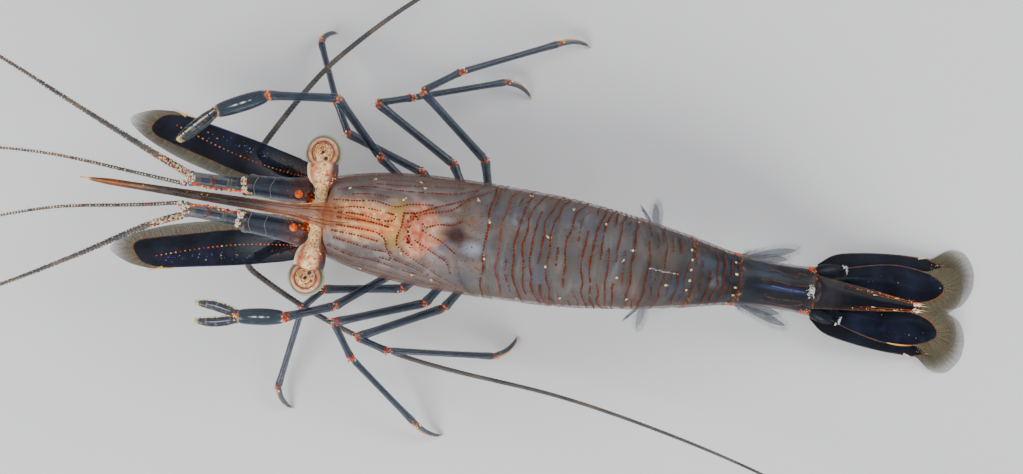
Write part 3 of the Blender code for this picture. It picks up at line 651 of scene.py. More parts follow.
# ---------------------------------------------------------------- materials
class Nodes:
    """A material's node tree with short calls for the nodes used here."""

    def __init__(self, name):
        self.material = bpy.data.materials.new(name)
        self.material.use_nodes = True
        self.tree = self.material.node_tree
        self.shader = self.tree.nodes["Principled BSDF"]

    def node(self, kind, **values):
        made = self.tree.nodes.new("ShaderNode" + kind)
        for key, value in values.items():
            setattr(made, key, value)
        return made

    def link(self, source, target):
        self.tree.links.new(source, target)

    def feed(self, socket, value):
        """Give an input another node's output, a colour or a number."""
        if hasattr(value, "is_output"):
            self.link(value, socket)
        else:
            socket.default_value = (*value, 1.0) if isinstance(value, tuple) else value

    def math(self, operation, *values):
        made = self.node("Math", operation=operation)
        for socket, value in zip(made.inputs, values):
            self.feed(socket, value)
        return made.outputs[0]

    def ramp(self, value, low, high, start=0.0, end=1.0):
        """A smooth step from start to end while the value goes from low to high."""
        made = self.node("MapRange", interpolation_type="SMOOTHSTEP")
        titles = ("Value", "From Min", "From Max", "To Min", "To Max")
        for title, number in zip(titles, (value, low, high, start, end)):
            self.feed(made.inputs[title], number)
        return made.outputs["Result"]

    def noise(self, scale, detail=3.0):
        """Noise in the shared frame; scale is how many of its features fit in a millimetre."""
        coordinates = self.node("TexCoord")
        made = self.node("TexNoise")
        values = (coordinates.outputs["Object"], scale / MM, detail, 0.55)
        for title, value in zip(("Vector", "Scale", "Detail", "Roughness"), values):
            self.feed(made.inputs[title], value)
        return made.outputs["Fac"]

    def mix(self, share, first, second):
        made = self.node("Mix", data_type="RGBA")
        for number, value in ((0, share), (6, first), (7, second)):
            self.feed(made.inputs[number], value)
        return made.outputs[2]

    def scale(self, colour, factor):
        made = self.node("VectorMath", operation="SCALE")
        self.link(colour, made.inputs[0])
        self.link(factor, made.inputs["Scale"])
        return made.outputs[0]

    def tint(self):
        made = self.node("Attribute", attribute_name="tint")
        return made.outputs["Color"], made.outputs["Alpha"]

    def pattern(self, title):
        made = self.node("UVMap", uv_map=title)
        split = self.node("SeparateXYZ")
        self.link(made.outputs["UV"], split.inputs[0])
        return split.outputs["X"], split.outputs["Y"]

    def bump(self, height, strength, depth):
        made = self.node("Bump")
        for title, value in (("Strength", strength), ("Distance", depth * MM), ("Height", height)):
            self.feed(made.inputs[title], value)
        self.link(made.outputs["Normal"], self.shader.inputs["Normal"])

    def base(self):
        """The colour that the shader gets so far."""
        return self.shader.inputs["Base Color"].links[0].from_socket

    def finish(self, **inputs):
        """The material, once these inputs of its shader are set."""
        for title, value in inputs.items():
            self.feed(self.shader.inputs[title.replace("_", " ")], value)
        return self.material


def painted(
    name, roughness, variation=0.25, grain=1.5, relief=0.02, coat=0.0, clear=True, soft=0.0, shine=0.5
):
    """A material that takes colour and opacity from the piece's own paint, broken up by fine noise."""
    made = Nodes(name)
    colour, alpha = made.tint()
    lift = made.ramp(made.noise(grain), 0.25, 0.75, 1 - variation, 1 + variation)
    made.link(made.scale(colour, lift), made.shader.inputs["Base Color"])
    if clear:
        made.link(alpha, made.shader.inputs["Alpha"])
    dull = made.ramp(made.noise(grain * 0.4), 0.3, 0.7, roughness * 0.75, roughness * 1.3)
    made.bump(made.noise(grain * 3), 0.35, relief)
    made.finish(
        Roughness=dull, Specular_IOR_Level=shine, Coat_Weight=coat, Coat_Roughness=0.08,
        Subsurface_Weight=soft, Subsurface_Scale=0.5 * MM,
    )
    return made


def shell_material():
    """Clear shell, with faint brown clouds of the finest freckles."""
    made = painted("clear_shell", 0.34, variation=0.2, grain=1.2, relief=0.01, coat=0.08, shine=0.22)
    freckle = made.ramp(made.noise(9.0, detail=1.0), 0.60, 0.68)
    patch = made.ramp(made.noise(0.55), 0.42, 0.62, 0.0, 0.4)
    mark = made.math("MULTIPLY", freckle, patch)
    base = made.mix(mark, made.base(), BROWN)
    return made.finish(Base_Color=base, Alpha=made.math("MAXIMUM", made.tint()[1], mark))


def feeler_material():
    """Faint rings along a feeler."""
    made = painted("ringed_feeler", 0.4, grain=3.0, relief=0.01, shine=0.3)
    along, _ = made.pattern("lines")
    ring = made.ramp(made.math("PINGPONG", along, FEELER_RING / 2), 0.03, 0.085, 0.84, 1.08)
    return made.finish(Base_Color=made.scale(made.base(), ring))


def fin_material():
    """Dark clear blade with an amber line along its rim, and outside that an olive film combed outward."""
    made = painted("fin", 0.34, variation=0.35, grain=1.2, relief=0.006, coat=0.04, shine=0.12)
    rim, amber = made.pattern("measures")
    round_rim, _ = made.pattern("lines")
    inside = made.ramp(rim, -0.03, 0.02)
    comb = made.ramp(made.math("PINGPONG", round_rim, 0.05), 0.01, 0.045)
    film = made.mix(comb, OLIVE, srgb(100, 94, 74))
    line = made.math("SUBTRACT", made.ramp(rim, -0.03, 0.0), made.ramp(rim, 0.015, 0.055))
    dotted = made.ramp(made.math("PINGPONG", round_rim, 0.055), 0.01, 0.05, 0.3, 1.0)
    broken = made.ramp(made.noise(1.6), 0.38, 0.62, 0.25, 1.0)
    mark = made.math("MULTIPLY", made.math("MULTIPLY", line, amber), made.math("MULTIPLY", broken, dotted))
    base = made.mix(mark, made.mix(inside, film, made.base()), srgb(182, 104, 40))
    _, alpha = made.tint()
    fading = made.ramp(rim, -1.4, -0.05, 0.22, 0.85)
    thin = made.math("MULTIPLY", fading, made.ramp(comb, 0.0, 1.0, 0.85, 1.0))
    solid = made.math("MULTIPLY_ADD", made.math("SUBTRACT", alpha, thin), inside, thin)
    shown = made.math("MULTIPLY", mark, 0.85)
    return made.finish(Base_Color=base, Alpha=made.math("MAXIMUM", solid, shown))


def lens_material():
    """A glossy lens that catches a pale edge."""
    made = painted("eye_lens", 0.08, variation=0.12, grain=4.0, relief=0.004, coat=0.6, shine=0.3)
    return made.finish(Sheen_Weight=0.8, Sheen_Roughness=0.3, Sheen_Tint=srgb(222, 226, 196))


def floor_material():
    """Plain pale grey, faintly uneven."""
    made = Nodes("floor")
    shade = made.mix(made.noise(0.02, detail=4.0), srgb(214, 215, 217), srgb(224, 224, 224))
    return made.finish(Base_Color=shade, Roughness=made.ramp(made.noise(0.3), 0.3, 0.7, 0.7, 0.85))


MATERIALS = {
    "shell": shell_material(),
    "flesh": painted(
        "flesh", 0.5, 0.15, grain=1.1, relief=0.05, clear=False, soft=0.25, shine=0.2
    ).material,
    "feeler": feeler_material(),
    "fin": fin_material(),
    "glass": painted("clear_limb", 0.26, 0.3, grain=1.8, relief=0.012, coat=0.2, shine=0.3).material,
    "strand": painted("muscle_strand", 0.45, 0.3, grain=2.0, relief=0.02, soft=0.2).material,
    "stalk": painted("eye_stalk", 0.35, 0.3, grain=2.6, relief=0.05, clear=False, soft=0.3).material,
    "eye": lens_material(),
    "iris": painted("eye_core", 0.3, 0.3, grain=5.0, relief=0.03, clear=False).material,
    "grain": painted("colour_grain", 0.35, 0.15, grain=6.0, relief=0.004, clear=False, shine=0.12).material,
    "hair": painted("hair", 0.45, 0.2, grain=4.0, relief=0.002).material,
    "beak": painted("beak", 0.25, grain=2.2, relief=0.015, coat=0.4).material,
}


# ---------------------------------------------------------------- body
def shell_paint(where, angle, share, plate):
    """Tint and opacity of the shell: clear on the back, browner on the flanks, amber where a plate ends."""
    shade = mix(SHELL_TINT, SHELL_DARK, smooth(12.0, 22.0, where))
    flank = smooth(40.0, 85.0, abs(angle))
    shade = mix(shade, FLANK, 0.6 * flank * (1 - 0.5 * smooth(18.0, 26.0, where)))
    alpha = 0.12 + 0.26 * flank
    if plate >= 3:
        patchy = smooth(-0.1, 0.4, ripple(where * 2.5, angle * 0.06, 0.0, 0.7, 51.0))
        band = smooth(0.84, 0.93, share) * (1 - 0.6 * smooth(0.95, 1.0, share))
        rear = 0.7 * band * (0.25 + 0.75 * patchy) * (0.45 + 0.55 * smooth(20.0, 60.0, abs(angle)))
        shade = mix(shade, srgb(176, 100, 44), rear)
        alpha += 0.35 * rear
    return shade, alpha


def shell_place(where, angle):
    """The plate at a place on the body, and how far along the plate it is."""
    for plate in range(len(PLATE_EDGES)):
        end = plate_place(plate, 1.0, angle)
        if where < end or plate == len(PLATE_EDGES) - 1:
            start = plate_place(plate, 0.0, angle)
            return plate, min(max((where - start) / (end - start), 0.0), 1.0)


def shell_point(where, angle, lift=0.0):
    """A point on the outside of the shell plates."""
    plate, share = shell_place(where, angle)
    return body_point(where, angle, plate_inset(plate, share, angle) - lift)


def flank_angle(where, side):
    """The angle round the body of a point this far to one side, seen from above."""
    half_width = smooth_table(BODY, where)[1]
    reach = min(abs(side) / half_width, 0.995)
    return math.copysign(math.degrees(math.asin(reach ** (TOP_FULLNESS / 2))), side)


def head_shift(angle):
    """How far back the carapace's front edge lies: hollowed round the eye, with a point below it."""
    hollow = 0.45 * math.exp(-(((abs(angle) - 34.0) / 16.0) ** 2))
    point = 0.75 * math.exp(-(((abs(angle) - 66.0) / 6.5) ** 2))
    return hollow - point + 0.9 * smooth(95.0, 135.0, abs(angle))


def plate_place(plate, share, angle):
    """Where along the body a plate's point is, with its rear edge lapping over the next plate."""
    edges = (HEAD_EDGE, *PLATE_EDGES)
    start, end = plate_edge(edges[plate], angle), plate_edge(edges[plate + 1], angle)
    if plate == 0:
        start += head_shift(angle)
    lap = 0.0 if plate == len(PLATE_EDGES) - 1 else 0.22
    tuck = 0.10 if plate else 0.0
    return start - tuck + (end + lap - start + tuck) * share


def plate_inset(plate, share, angle):
    """How far a plate lies below the body's outline: tucked in front, and a lip at its rear edge."""
    tuck = 0.13 * (1 - smooth(0.0, 0.16, share)) if plate else 0.0
    if plate == 2:
        tuck *= 1 - smooth(85.0, 110.0, abs(angle))
    lip = 0.035 * smooth(0.9, 0.97, share)
    return 0.04 + tuck - lip


def rim_limit(plate, share):
    """How far down the flank a plate reaches, with its lower corners rounded."""
    if plate == 0:
        return 146.0 - 18.0 * (1 - smooth(0.0, 0.22, share)) - 10.0 * smooth(0.8, 1.0, share)
    if plate == len(PLATE_EDGES) - 1:
        return 150.0
    return 143.0 - 20.0 * abs(2 * share - 1) ** 3


def build_plate(plate, name):
    """One plate of the shell: a closed sheet that follows the body, clearer on its inner side."""
    rows, columns = (80, 101) if plate == 0 else (36, 101)
    shape = Shape()
    layers = []
    for depth in (0.0, SHELL):
        grid = []
        for i in range(rows + 1):
            share = i / rows
            row = []
            for k in range(columns):
                angle = (2 * k / (columns - 1) - 1) * rim_limit(plate, share)
                where = plate_place(plate, share, angle)
                tint, alpha = shell_paint(where, angle, share, plate)
                point = body_point(where, angle, plate_inset(plate, share, angle) + depth)
                row.append(shape.add_point(point, tint, alpha * (0.35 if depth else 1.0)))
            grid.append(row)
        layers.append(grid)
    shape.add_slab(*layers, flip=True)
    shape.make(name, "shell")


def organ_paint(where, side, shade, top):
    """The organs that show through the back of the carapace, with a painted highlight over the heart."""
    wobble = 0.25 * ripple(where, side, 0.0, 0.8, 60.0)

    def oval(centre, radii, soft=0.5, ahead=0.0, aside=0.0):
        return blot(where + ahead, side + aside, centre, radii, soft)

    def mottle(low, high, scale, seed):
        return smooth(low, high, ripple(where, side, 0.0, scale, seed))

    dark = srgb(86, 84, 88)
    pale = smooth(-0.1, 0.35, ripple(where * 0.5, side, 0.0, 0.45, 66.0))
    streak = 0.5 + 0.5 * math.sin(side * 15.0 + 2.5 * ripple(where * 0.6, side, 0.0, 0.9, 70.0) + 1.0)
    glow = oval((2.45, 0.05), (2.1, 1.0), 0.4, aside=wobble * 0.4)
    heart = 1.4 - 0.55 * (where - 5.9)
    chamber = oval((6.0, 0.0), (1.2, max(heart, 0.3)), 0.25, ahead=wobble)
    vein = mottle(0.05, 0.25, 0.3, 33.0) * oval((5.5, 0.0), (0.75, 1.0), 0.4)
    shade = cover(
        shade,
        (dark, 0.5 * oval((2.4, 1.6), (2.0, 0.5))),
        (dark, 0.5 * oval((2.6, -1.8), (2.2, 0.55))),
        (srgb(172, 162, 162), 0.6 * pale * top * oval((4.6, 0.0), (4.2, 2.4), 0.4)),
        (GLAND, 0.95 * top * oval((4.45, 0.05), (0.85, 1.2), 0.6, ahead=wobble)),
        (srgb(255, 182, 122), 0.9 * top * glow),
        (STOMACH, top * smooth(0.3, 0.7, streak) * oval((2.9, 0.0), (1.5, 0.6), 0.45)),
        (srgb(255, 226, 168), 0.8 * top * mottle(0.12, 0.35, 0.3, 75.0) * glow),
        (PINK, 0.9 * top * chamber),
        (srgb(240, 200, 172), 0.5 * top * mottle(0.0, 0.3, 0.28, 35.0) * chamber),
        (srgb(186, 54, 34), 0.65 * top * vein),
        # A cream patch over the heart: a painted highlight
        (srgb(236, 196, 168), 0.8 * top * oval((6.95, 0.05), (0.75, 0.36), 0.4)),
        (DARK_SPOT, top * oval((7.75, -0.02), (0.8, 0.46), 0.6, ahead=wobble)),
        (DARK_SPOT, 0.9 * top * oval((9.0, -0.1), (1.3, 0.045), 0.7)),
    )
    for centre in ((9.0, 1.2), (9.1, -1.4), (8.6, 0.9)):
        speck = oval(centre, (0.22, 0.14), 0.9, aside=wobble * 0.5)
        shade = mix(shade, srgb(150, 92, 50), 0.5 * top * speck)
    return mix(shade, srgb(176, 182, 196), 0.7 * top * oval((8.8, -0.55), (0.45, 0.32), 0.8))


def flesh_paint(where, side, angle):
    """Colour of what shows through the shell: organs in front, and bands of muscle down the tail, with
    painted highlights on the fifth and sixth segments.
    """
    top = 1 - smooth(48.0, 80.0, abs(angle))
    cloud = ripple(where, side, angle * 0.02, 1.3, 95.0)
    brown = (0.4 - 0.2 * smooth(9.0, 10.5, where)) * (1 - smooth(21.0, 24.0, where))
    bands = 0.5 + 0.5 * math.sin(where * 4.4 + 1.5 * ripple(where, side, 0.0, 1.4, 80.0))
    fibre = smooth(0.1, 0.5, ripple(where * 2.2, side * 0.4, 0.0, 0.6, 41.0))
    wash = smooth(-0.3, 0.3, ripple(where, side, 0.0, 0.35, 12.0))
    shade = cover(
        FLESH,
        (FLESH_BLUE, smooth(6.4, 10.5, where)),
        (srgb(56, 52, 52), 0.85 * smooth(15.5, 19.0, where)),
        (FLESH_REAR, smooth(19.8, 23.8, where)),
        (srgb(62, 80, 102), 0.4 * smooth(0.0, 0.5, cloud) * smooth(3.0, 8.0, where)),
        (srgb(124, 92, 66), brown * smooth(0.0, 0.5, -cloud)),
    )
    shade = cover(
        organ_paint(where, side, shade, top),
        (srgb(150, 148, 150), 0.12 * bands * smooth(8.5, 10.0, where) * (1 - smooth(19.0, 22.0, where))),
        (srgb(150, 146, 144), 0.18 * fibre * smooth(9.0, 10.5, where) * (1 - smooth(18.0, 21.0, where))),
    )
    # Pale grey-blue patches; the one on the fifth segment is a painted highlight
    for centre, radii, share in (((11.0, 1.25), (0.55, 0.4), 0.5), ((13.9, 1.5), (0.5, 0.35), 0.3),
                                 ((21.6, -0.25), (0.5, 0.32), 0.4), ((9.5, 0.0), (0.5, 2.2), 0.25)):
        shade = mix(shade, srgb(150, 156, 166), share * wash * top * blot(where, side, centre, radii, 0.9))
    shade = cover(
        shade,
        # A thin violet streak down the sixth segment: a painted highlight
        (srgb(70, 78, 120), 0.8 * top * blot(where, side, (25.8, -0.14), (1.3, 0.10), 0.9)),
        (FLANK, 0.4 * smooth(50.0, 90.0, abs(angle)) * (1 - 0.6 * smooth(21.0, 25.0, where))),
    )
    return mix(srgb(170, 118, 92), shade, smooth(0.4, 0.8, where))


def beak_section(x):
    """The beak's cross-section at a place along it.

    It is given as the share of the beak's length gone, the heights of its top, middle and bottom, its half
    width and sink(y), how far the carapace's roundness lowers it to the side.
    """
    share = min(max(-x / BEAK_REACH, 0.0), 1.0)
    body_middle, half_width, rise, _ = smooth_table(BODY, x)
    merge = smooth(-1.8, 0.75, x)
    sunk = smooth(0.75, 2.6, x)
    axis = 7.62 - 0.15 * math.sin(math.pi * share) + 0.35 * share**2
    depth = 0.12 + 0.42 * math.cos(math.pi / 2 * share) ** 0.8
    top = body_middle + rise - 0.03
    middle = axis + (top - axis) * merge - 0.12 * sunk
    high = middle + depth * 0.72 * (1 - merge) + 0.15 * merge
    high += saw(x, 2.4, -10.6, 9, 0.22) * (1 - 0.4 * sunk)
    low = middle - (depth * 0.8 * (1 - merge) + 0.12 * merge) - saw(x, -3.2, -9.6, 3, 0.2)
    wing = 0.17 + 0.24 * (1 - share) ** 1.6 + 0.32 * smooth(-1.4, 0.9, x) - 0.11 * smooth(0.86, 1.0, share)
    wing *= 1 - 0.5 * sunk

    def sink(y):
        side = 1 - min(abs(y) / half_width, 1.0) ** TOP_FULLNESS
        return rise * (1 - side ** (1 / TOP_FULLNESS)) * merge

    return share, high, middle, low, wing, sink


def build_flesh():
    """The flesh inside the shell, one closed skin from the head to the end of the sixth segment."""
    rows, columns = 380, 128
    start, end, front, back = 0.42, 27.62, 1.0, 27.3
    shape = Shape()
    grid = []
    for i in range(rows + 1):
        where = start + (end - start) * i / rows
        close = 1.0
        if where < front:
            close = math.sqrt(max(1 - ((front - where) / 0.6) ** 2, 0.02))
        if where > back:
            close = math.sqrt(max(1 - ((where - back) / 0.34) ** 2, 0.02))
        middle = smooth_table(BODY, where)[0]
        row = []
        for k in range(columns):
            angle = 360.0 * k / columns - 180.0
            lump = 0.03 * ripple(where, angle * 0.04, 0.0, 0.7, 90.0)
            point = body_point(where, angle, FLESH_INSET - lump)
            point.y *= close
            point.z = middle + (point.z - middle) * close
            row.append(shape.add_point(point, flesh_paint(where, point.y, angle)))
        grid.append(row)
    shape.add_sheet(grid, around=True, flip=True)
    for row, x, flip in ((grid[0], start, False), (grid[-1], end, True)):
        middle = Vector((x, 0.0, smooth_table(BODY, x)[0]))
        shape.add_fan(row, shape.add_point(middle, flesh_paint(x, 0.0, 0.0)), flip=flip)
    shape.make("flesh", "flesh", nodes=())


def build_face():
    """The face under the eye stalks: the band between them, dark-red grains before it, and the lips."""
    draw = random.Random("face")

    def paint(way):
        mottle = smooth(0.1, 0.9, abs(ripple(*way, 0.35, 4.0)) * 2)
        shade = mix(srgb(120, 96, 84), srgb(156, 62, 34), mottle)
        return mix(shade, FLESH, 0.35), 1.0

    def band_paint(share, way):
        mottle = ripple(share * 3.0, way.x, way.z, 0.3, 4.0)
        shade = mix(srgb(252, 206, 164), srgb(255, 244, 214), smooth(-0.1, 0.2, mottle))
        return mix(shade, srgb(222, 124, 84), 0.5 * smooth(0.25, 0.45, -mottle)), 1.0

    shape = Shape()
    shape.add_ball(Vector((0.35, 0.0, 4.9)), (0.72, 1.9, 1.45), 24, 40, 0, paint)
    for _, sign in SIDES:
        shape.add_ball(Vector((0.5, 0.55 * sign, 3.55)), (0.7, 0.42, 0.4), 14, 20, 0, paint)
        for _ in range(46):
            x, y = -0.42 + draw.gauss(0, 0.13), (0.8 + draw.gauss(0, 0.16)) * sign
            spot = Vector((x, y, 6.3 + draw.gauss(0, 0.05)))
            tint = draw.choice((RUST, srgb(110, 22, 10), srgb(150, 40, 12), AMBER))
            shape.add_blob(spot, UP, draw.uniform(0.05, 0.1), 0.05, tint, 1, 7)
    path = [Vector((0.1, 0.75 - 1.5 * k / 16, 6.74)) for k in range(17)]
    shape.add_tube(path, [0.36 + 0.02 * math.sin(k) for k in range(17)], 20, 0, band_paint)
    tints = (CREAM, WHITE, srgb(250, 222, 170), srgb(244, 196, 140), srgb(224, 120, 84))
    for _ in range(110):
        out = tilted(draw.uniform(-1.1, 1.1))
        spot = Vector((0.1, draw.uniform(-0.8, 0.8), 6.74)) + out * 0.355
        tint = draw.choice(tints)
        shape.add_dot(spot, out, draw.uniform(0.03, 0.065), 0.03, tint, 1)
    shape.make("face", "stalk grain")


# ---------------------------------------------------------------- beak
def saw(position, first, last, count, height):
    """Height of a row of teeth that point forward, at a place between the row's two ends."""
    if not last < position < first:
        return 0.0
    share = (first - position) / (first - last) * count % 1.0
    return height * (share / 0.86) ** 1.4 if share < 0.86 else height * (1 - share) / 0.14


def build_rostrum():
    """The beak: a thin saw-edged blade with a ridge along each side, sinking into the carapace behind."""
    rings, fine, edge = 340, 8, 0.025
    back, tip = 2.6, -BEAK_REACH + 0.02
    shape = Shape()
    grid = []
    for i in range(rings + 1):
        x = back + (tip - back) * i / rings
        share, high, middle, low, wing, sink = beak_section(x)
        blade = 0.10 * (1 - share) ** 0.6 + 0.03
        corners = (
            (0.0, high), (edge, high - 0.04), (blade * 0.7, middle + (high - middle) * 0.4),
            (blade * 1.3, middle + 0.06), (wing, middle + 0.03), (wing, middle - 0.03),
            (blade * 1.2, middle - 0.09), (blade, middle + (low - middle) * 0.5), (edge, low + 0.05),
            (0.0, low),
        )
        half = []
        for first, second in zip(corners, corners[1:]):
            half += [tuple(a + (b - a) * k / fine for a, b in zip(first, second)) for k in range(fine)]
        half.append(corners[-1])
        row = []
        for y, z in half + [(-y, z) for y, z in half[-2:0:-1]]:
            paint = beak_paint(x, y / max(wing, 0.01), share)
            row.append(shape.add_point(Vector((x, y, z - sink(y))), *paint))
        grid.append(row)
    shape.add_sheet(grid, around=True)
    shape.add_face(grid[0][::-1])
    shape.add_face(grid[-1])
    for line in BEAK_LINES:
        add_beak_line(shape, *line)
    beads = ((-10.8, ORANGE), (-8.0, RUST), (-7.0, ORANGE), (-9.4, GOLD), (-6.2, GOLD), (-5.9, GOLD))
    for x, tint in beads:
        _, _, middle, _, wing, _ = beak_section(x)
        shape.add_dot(Vector((x, 0.3 * wing, middle + 0.12)), UP, 0.055, 0.03, tint, 1, REARWARD)
    for x in (2.4, 3.1):
        root = Vector((x, 0.0, body_point(x, 0.0, 0.1).z))
        shape.add_spike(root, root + Vector((-0.4, 0.0, 0.14)), 0.06, srgb(150, 90, 56), 0.7, 0, 8)
    shape.make("rostrum", "beak grain", "rostrum")


def add_beak_line(shape, across, front, rear, tints):
    """A fine coloured line along the top of the beak, at this share of its half width from the middle."""
    path, radii = [], []
    steps = 90
    for k in range(steps + 1):
        x = rear + (front - rear) * k / steps
        _, _, middle, _, wing, sink = beak_section(x)
        y = across * wing
        path.append(Vector((x, y, middle + 0.065 - 0.03 * abs(across) - sink(y))))
        ends = smooth(0.0, 0.08, k / steps) * (1 - smooth(0.8, 1.0, k / steps))
        radii.append(0.006 + 0.018 * ends * (0.75 + 0.25 * math.sin(k * 1.3 + across * 9)))

    def paint(share, way):
        return mix(*tints, smooth(-0.2, 0.25, ripple(share * 16, across * 7, 0.0, 0.8, 12.0))), 1.0

    shape.add_tube(path, radii, 6, 1, paint)


def beak_paint(x, across, share):
    """A clear, smoky beak, warm at its root and amber toward its pale tip, with a painted highlight down
    the middle near the tip.
    """
    away = abs(across)
    edge = smooth(0.75, 1.0, away)
    shade = cover(
        srgb(150, 84, 44),
        (srgb(44, 36, 30), smooth(-1.0, -3.8, x)),
        (srgb(116, 58, 14), smooth(-9.0, -11.0, x)),
        (srgb(92, 44, 18), 0.6 * edge * smooth(-3.0, -6.0, x)),
        # A brighter amber line down the middle near the tip: a painted highlight
        (srgb(196, 120, 36), 0.7 * smooth(0.5, 0.1, away) * smooth(-10.0, -11.4, x)),
        (srgb(190, 130, 60), 0.6 * smooth(0.5, 0.2, away) * blot(x, across, (-9.6, 0.2), (0.8, 0.6), 0.6)),
        (srgb(232, 204, 146), smooth(-12.1, -12.45, x)),
    )
    alpha = 0.5 + 0.3 * smooth(-1.5, -4.5, x) + 0.13 * smooth(-8.5, -10.5, x)
    return shade, alpha * (1 - smooth(0.4, 1.8, x)) + 0.02


# ---------------------------------------------------------------- eyes
def build_eye(side, sign):
    """A clear greenish lens over a finely ringed core with a pink rim and dark specks."""
    centre = EYE_CENTRES[side]
    specks = ((0.0, 0.02, 0.12), (0.22, -0.32, 0.14), (-0.16, 0.24, 0.06), (0.08, 0.34, 0.05))
    core_radius = 0.92

    def core(way):
        polar = math.acos(max(min(abs(way.z), 1.0), -1.0))
        away = math.sin(polar) * core_radius
        rings = math.sin(44.0 * polar + 9.0 * ripple(*way, 0.24, 2.0 + sign))
        shade = cover(
            srgb(64, 30, 16),
            (srgb(244, 190, 118), smooth(-1.0, 0.9, rings + 1.7 * ripple(*way, 0.08, 7.0))),
            (srgb(196, 118, 84), 0.22),
            (srgb(104, 56, 36), 0.75 * smooth(0.5, 0.62, away)),
        )
        for x, y, size in specks:
            near = math.hypot(way.x - x, way.y - y * sign) / size
            shade = mix(srgb(10, 4, 4), shade, smooth(0.7, 1.1, near) if way.z > 0 else 1.0)
        return shade, 1.0

    def lens(way):
        away = math.sqrt(max(1 - way.z**2, 0.0)) * EYE_RADIUS
        streaky = 0.5 + 0.5 * math.sin(math.atan2(way.y, way.x) * 9 + 4 * ripple(*way, 0.5, 3.0))
        shade = cover(
            srgb(222, 150, 116),
            (srgb(170, 96, 70), 0.7 * streaky),
            (srgb(240, 200, 160), 0.7 * smooth(0.1, 0.9, way.y * sign) * smooth(0.66, 0.74, away)),
            (srgb(96, 96, 66), smooth(0.77, 0.83, away)),
            (srgb(178, 182, 150), smooth(0.86, 1.0, away)),
        )
        return shade, 0.02 + 0.92 * smooth(0.58, 0.68, away) - 0.12 * smooth(0.76, 0.9, away)

    shape = Shape()
    shape.add_ball(centre, (EYE_RADIUS,) * 3, 160, 72, 0, lens)
    shape.add_ball(centre, (core_radius,) * 3, 140, 130, 1, core)
    shape.make(f"eye_{side}", "eye iris", "eye")


def add_bead_ring(shape, point, way, radius, draw, size=0.085):
    """A few orange-red beads across the top of a joint, with cream grains beside them."""
    way, side, up = across_axes(way)

    def bead(turn, shift, width, tint):
        out = side * math.cos(turn) + up * math.sin(turn)
        shape.add_blob(point + way * shift + out * radius * 0.98, out, width, width * 0.6, tint, 2, 8)

    for k in range(4):
        turn = math.radians(38 + 34 * k + draw.uniform(-8, 8))
        tint = draw.choice((ORANGE, srgb(214, 54, 12), srgb(250, 96, 40)))
        bead(turn, 0.09 * (-1) ** k + draw.gauss(0, 0.03), size * draw.uniform(0.7, 1.15), tint)
    for _ in range(7):
        tint = draw.choice((CREAM, GOLD, WHITE, srgb(186, 150, 100)))
        bead(draw.uniform(0.3, 2.8), 0.2 + draw.gauss(0, 0.06), draw.uniform(0.025, 0.06), tint)
    for _ in range(5):
        turn, shift, width = draw.uniform(0.3, 2.8), draw.gauss(0, 0.12), draw.uniform(0.02, 0.035)
        bead(turn, shift, width, draw.choice((ORANGE, RUST)))


STALK_PROFILE = (
    (0.0, 0.30), (0.12, 0.34), (0.28, 0.34), (0.44, 0.37), (0.51, 0.49), (0.57, 0.66),
    (0.65, 0.79), (0.75, 0.85), (0.86, 0.85), (0.92, 0.79), (0.97, 0.62), (1.0, 0.30),
)


def build_stalk(side, sign):
    """A mottled neck that swells into a cup round the eye, cream along its middle."""
    draw = random.Random(f"stalk{side}")
    root = Vector((0.22, 0.05 * sign, 6.72))
    steps = 64
    path = straight_path(root, root.lerp(EYE_CENTRES[side], 0.92), steps)
    radii = [smooth_table(STALK_PROFILE, k / steps)[0] for k in range(steps + 1)]

    def paint(share, way):
        mottle = ripple(share * 3.4, way.x + sign, way.z, 0.3, 14.0)
        sides = smooth(0.25, 0.6, abs(way.x + 0.08 * math.sin(share * 14)))
        cup = smooth(0.44, 0.6, share)
        rusty = smooth(0.18, 0.36, ripple(share * 5, way.x, way.z, 0.22, 44.0 + sign))
        return cover(
            srgb(250, 206, 144),
            (srgb(190, 98, 60), cup * sides * (0.8 + 0.2 * smooth(-0.2, 0.2, mottle))),
            (srgb(186, 112, 108), 0.6 * cup * smooth(0.0, 0.3, mottle)),
            (srgb(176, 66, 26), (0.35 + 0.5 * cup) * rusty),
            (srgb(40, 46, 56), 0.9 * smooth(0.5, 0.75, share) * smooth(0.45, 0.75, way.x)),
            (srgb(240, 232, 184), 0.95 * smooth(0.72, 0.9, -way.x) * smooth(0.45, 0.6, share)),
            (srgb(226, 150, 104), 0.35 * smooth(0.2, 0.05, share)),
        ), 1.0

    def grain(k, turn, tints, sizes, height):
        out = tilted(turn)
        tint = draw.choice(tints)
        shape.add_dot(path[k] + out * radii[k] * 0.99, out, draw.uniform(*sizes), height, tint, 1)

    shape = Shape()
    shape.add_tube(path, radii, 52, 0, paint)
    reds = (RUST, ORANGE, srgb(190, 52, 20), srgb(232, 120, 80))
    creams = (CREAM, WHITE, srgb(250, 226, 176), srgb(240, 196, 130), srgb(206, 112, 70))
    for _ in range(34):
        grain(draw.randint(22, steps - 6), draw.uniform(-1.1, 1.1), reds, (0.03, 0.06), 0.02)
    for _ in range(170):
        grain(draw.randint(6, steps - 22), draw.gauss(0.0, 0.7), creams, (0.025, 0.055), 0.03)
    shape.make(f"eyestalk_{side}", "stalk grain", "eyestalk")


# ---------------------------------------------------------------- limbs
SEGMENT_PROFILE = (
    (0.0, 0.74), (0.02, 0.90), (0.06, 1.0), (0.14, 0.96), (0.5, 0.92),
    (0.84, 0.98), (0.93, 1.10), (0.98, 1.06), (1.0, 0.82),
)


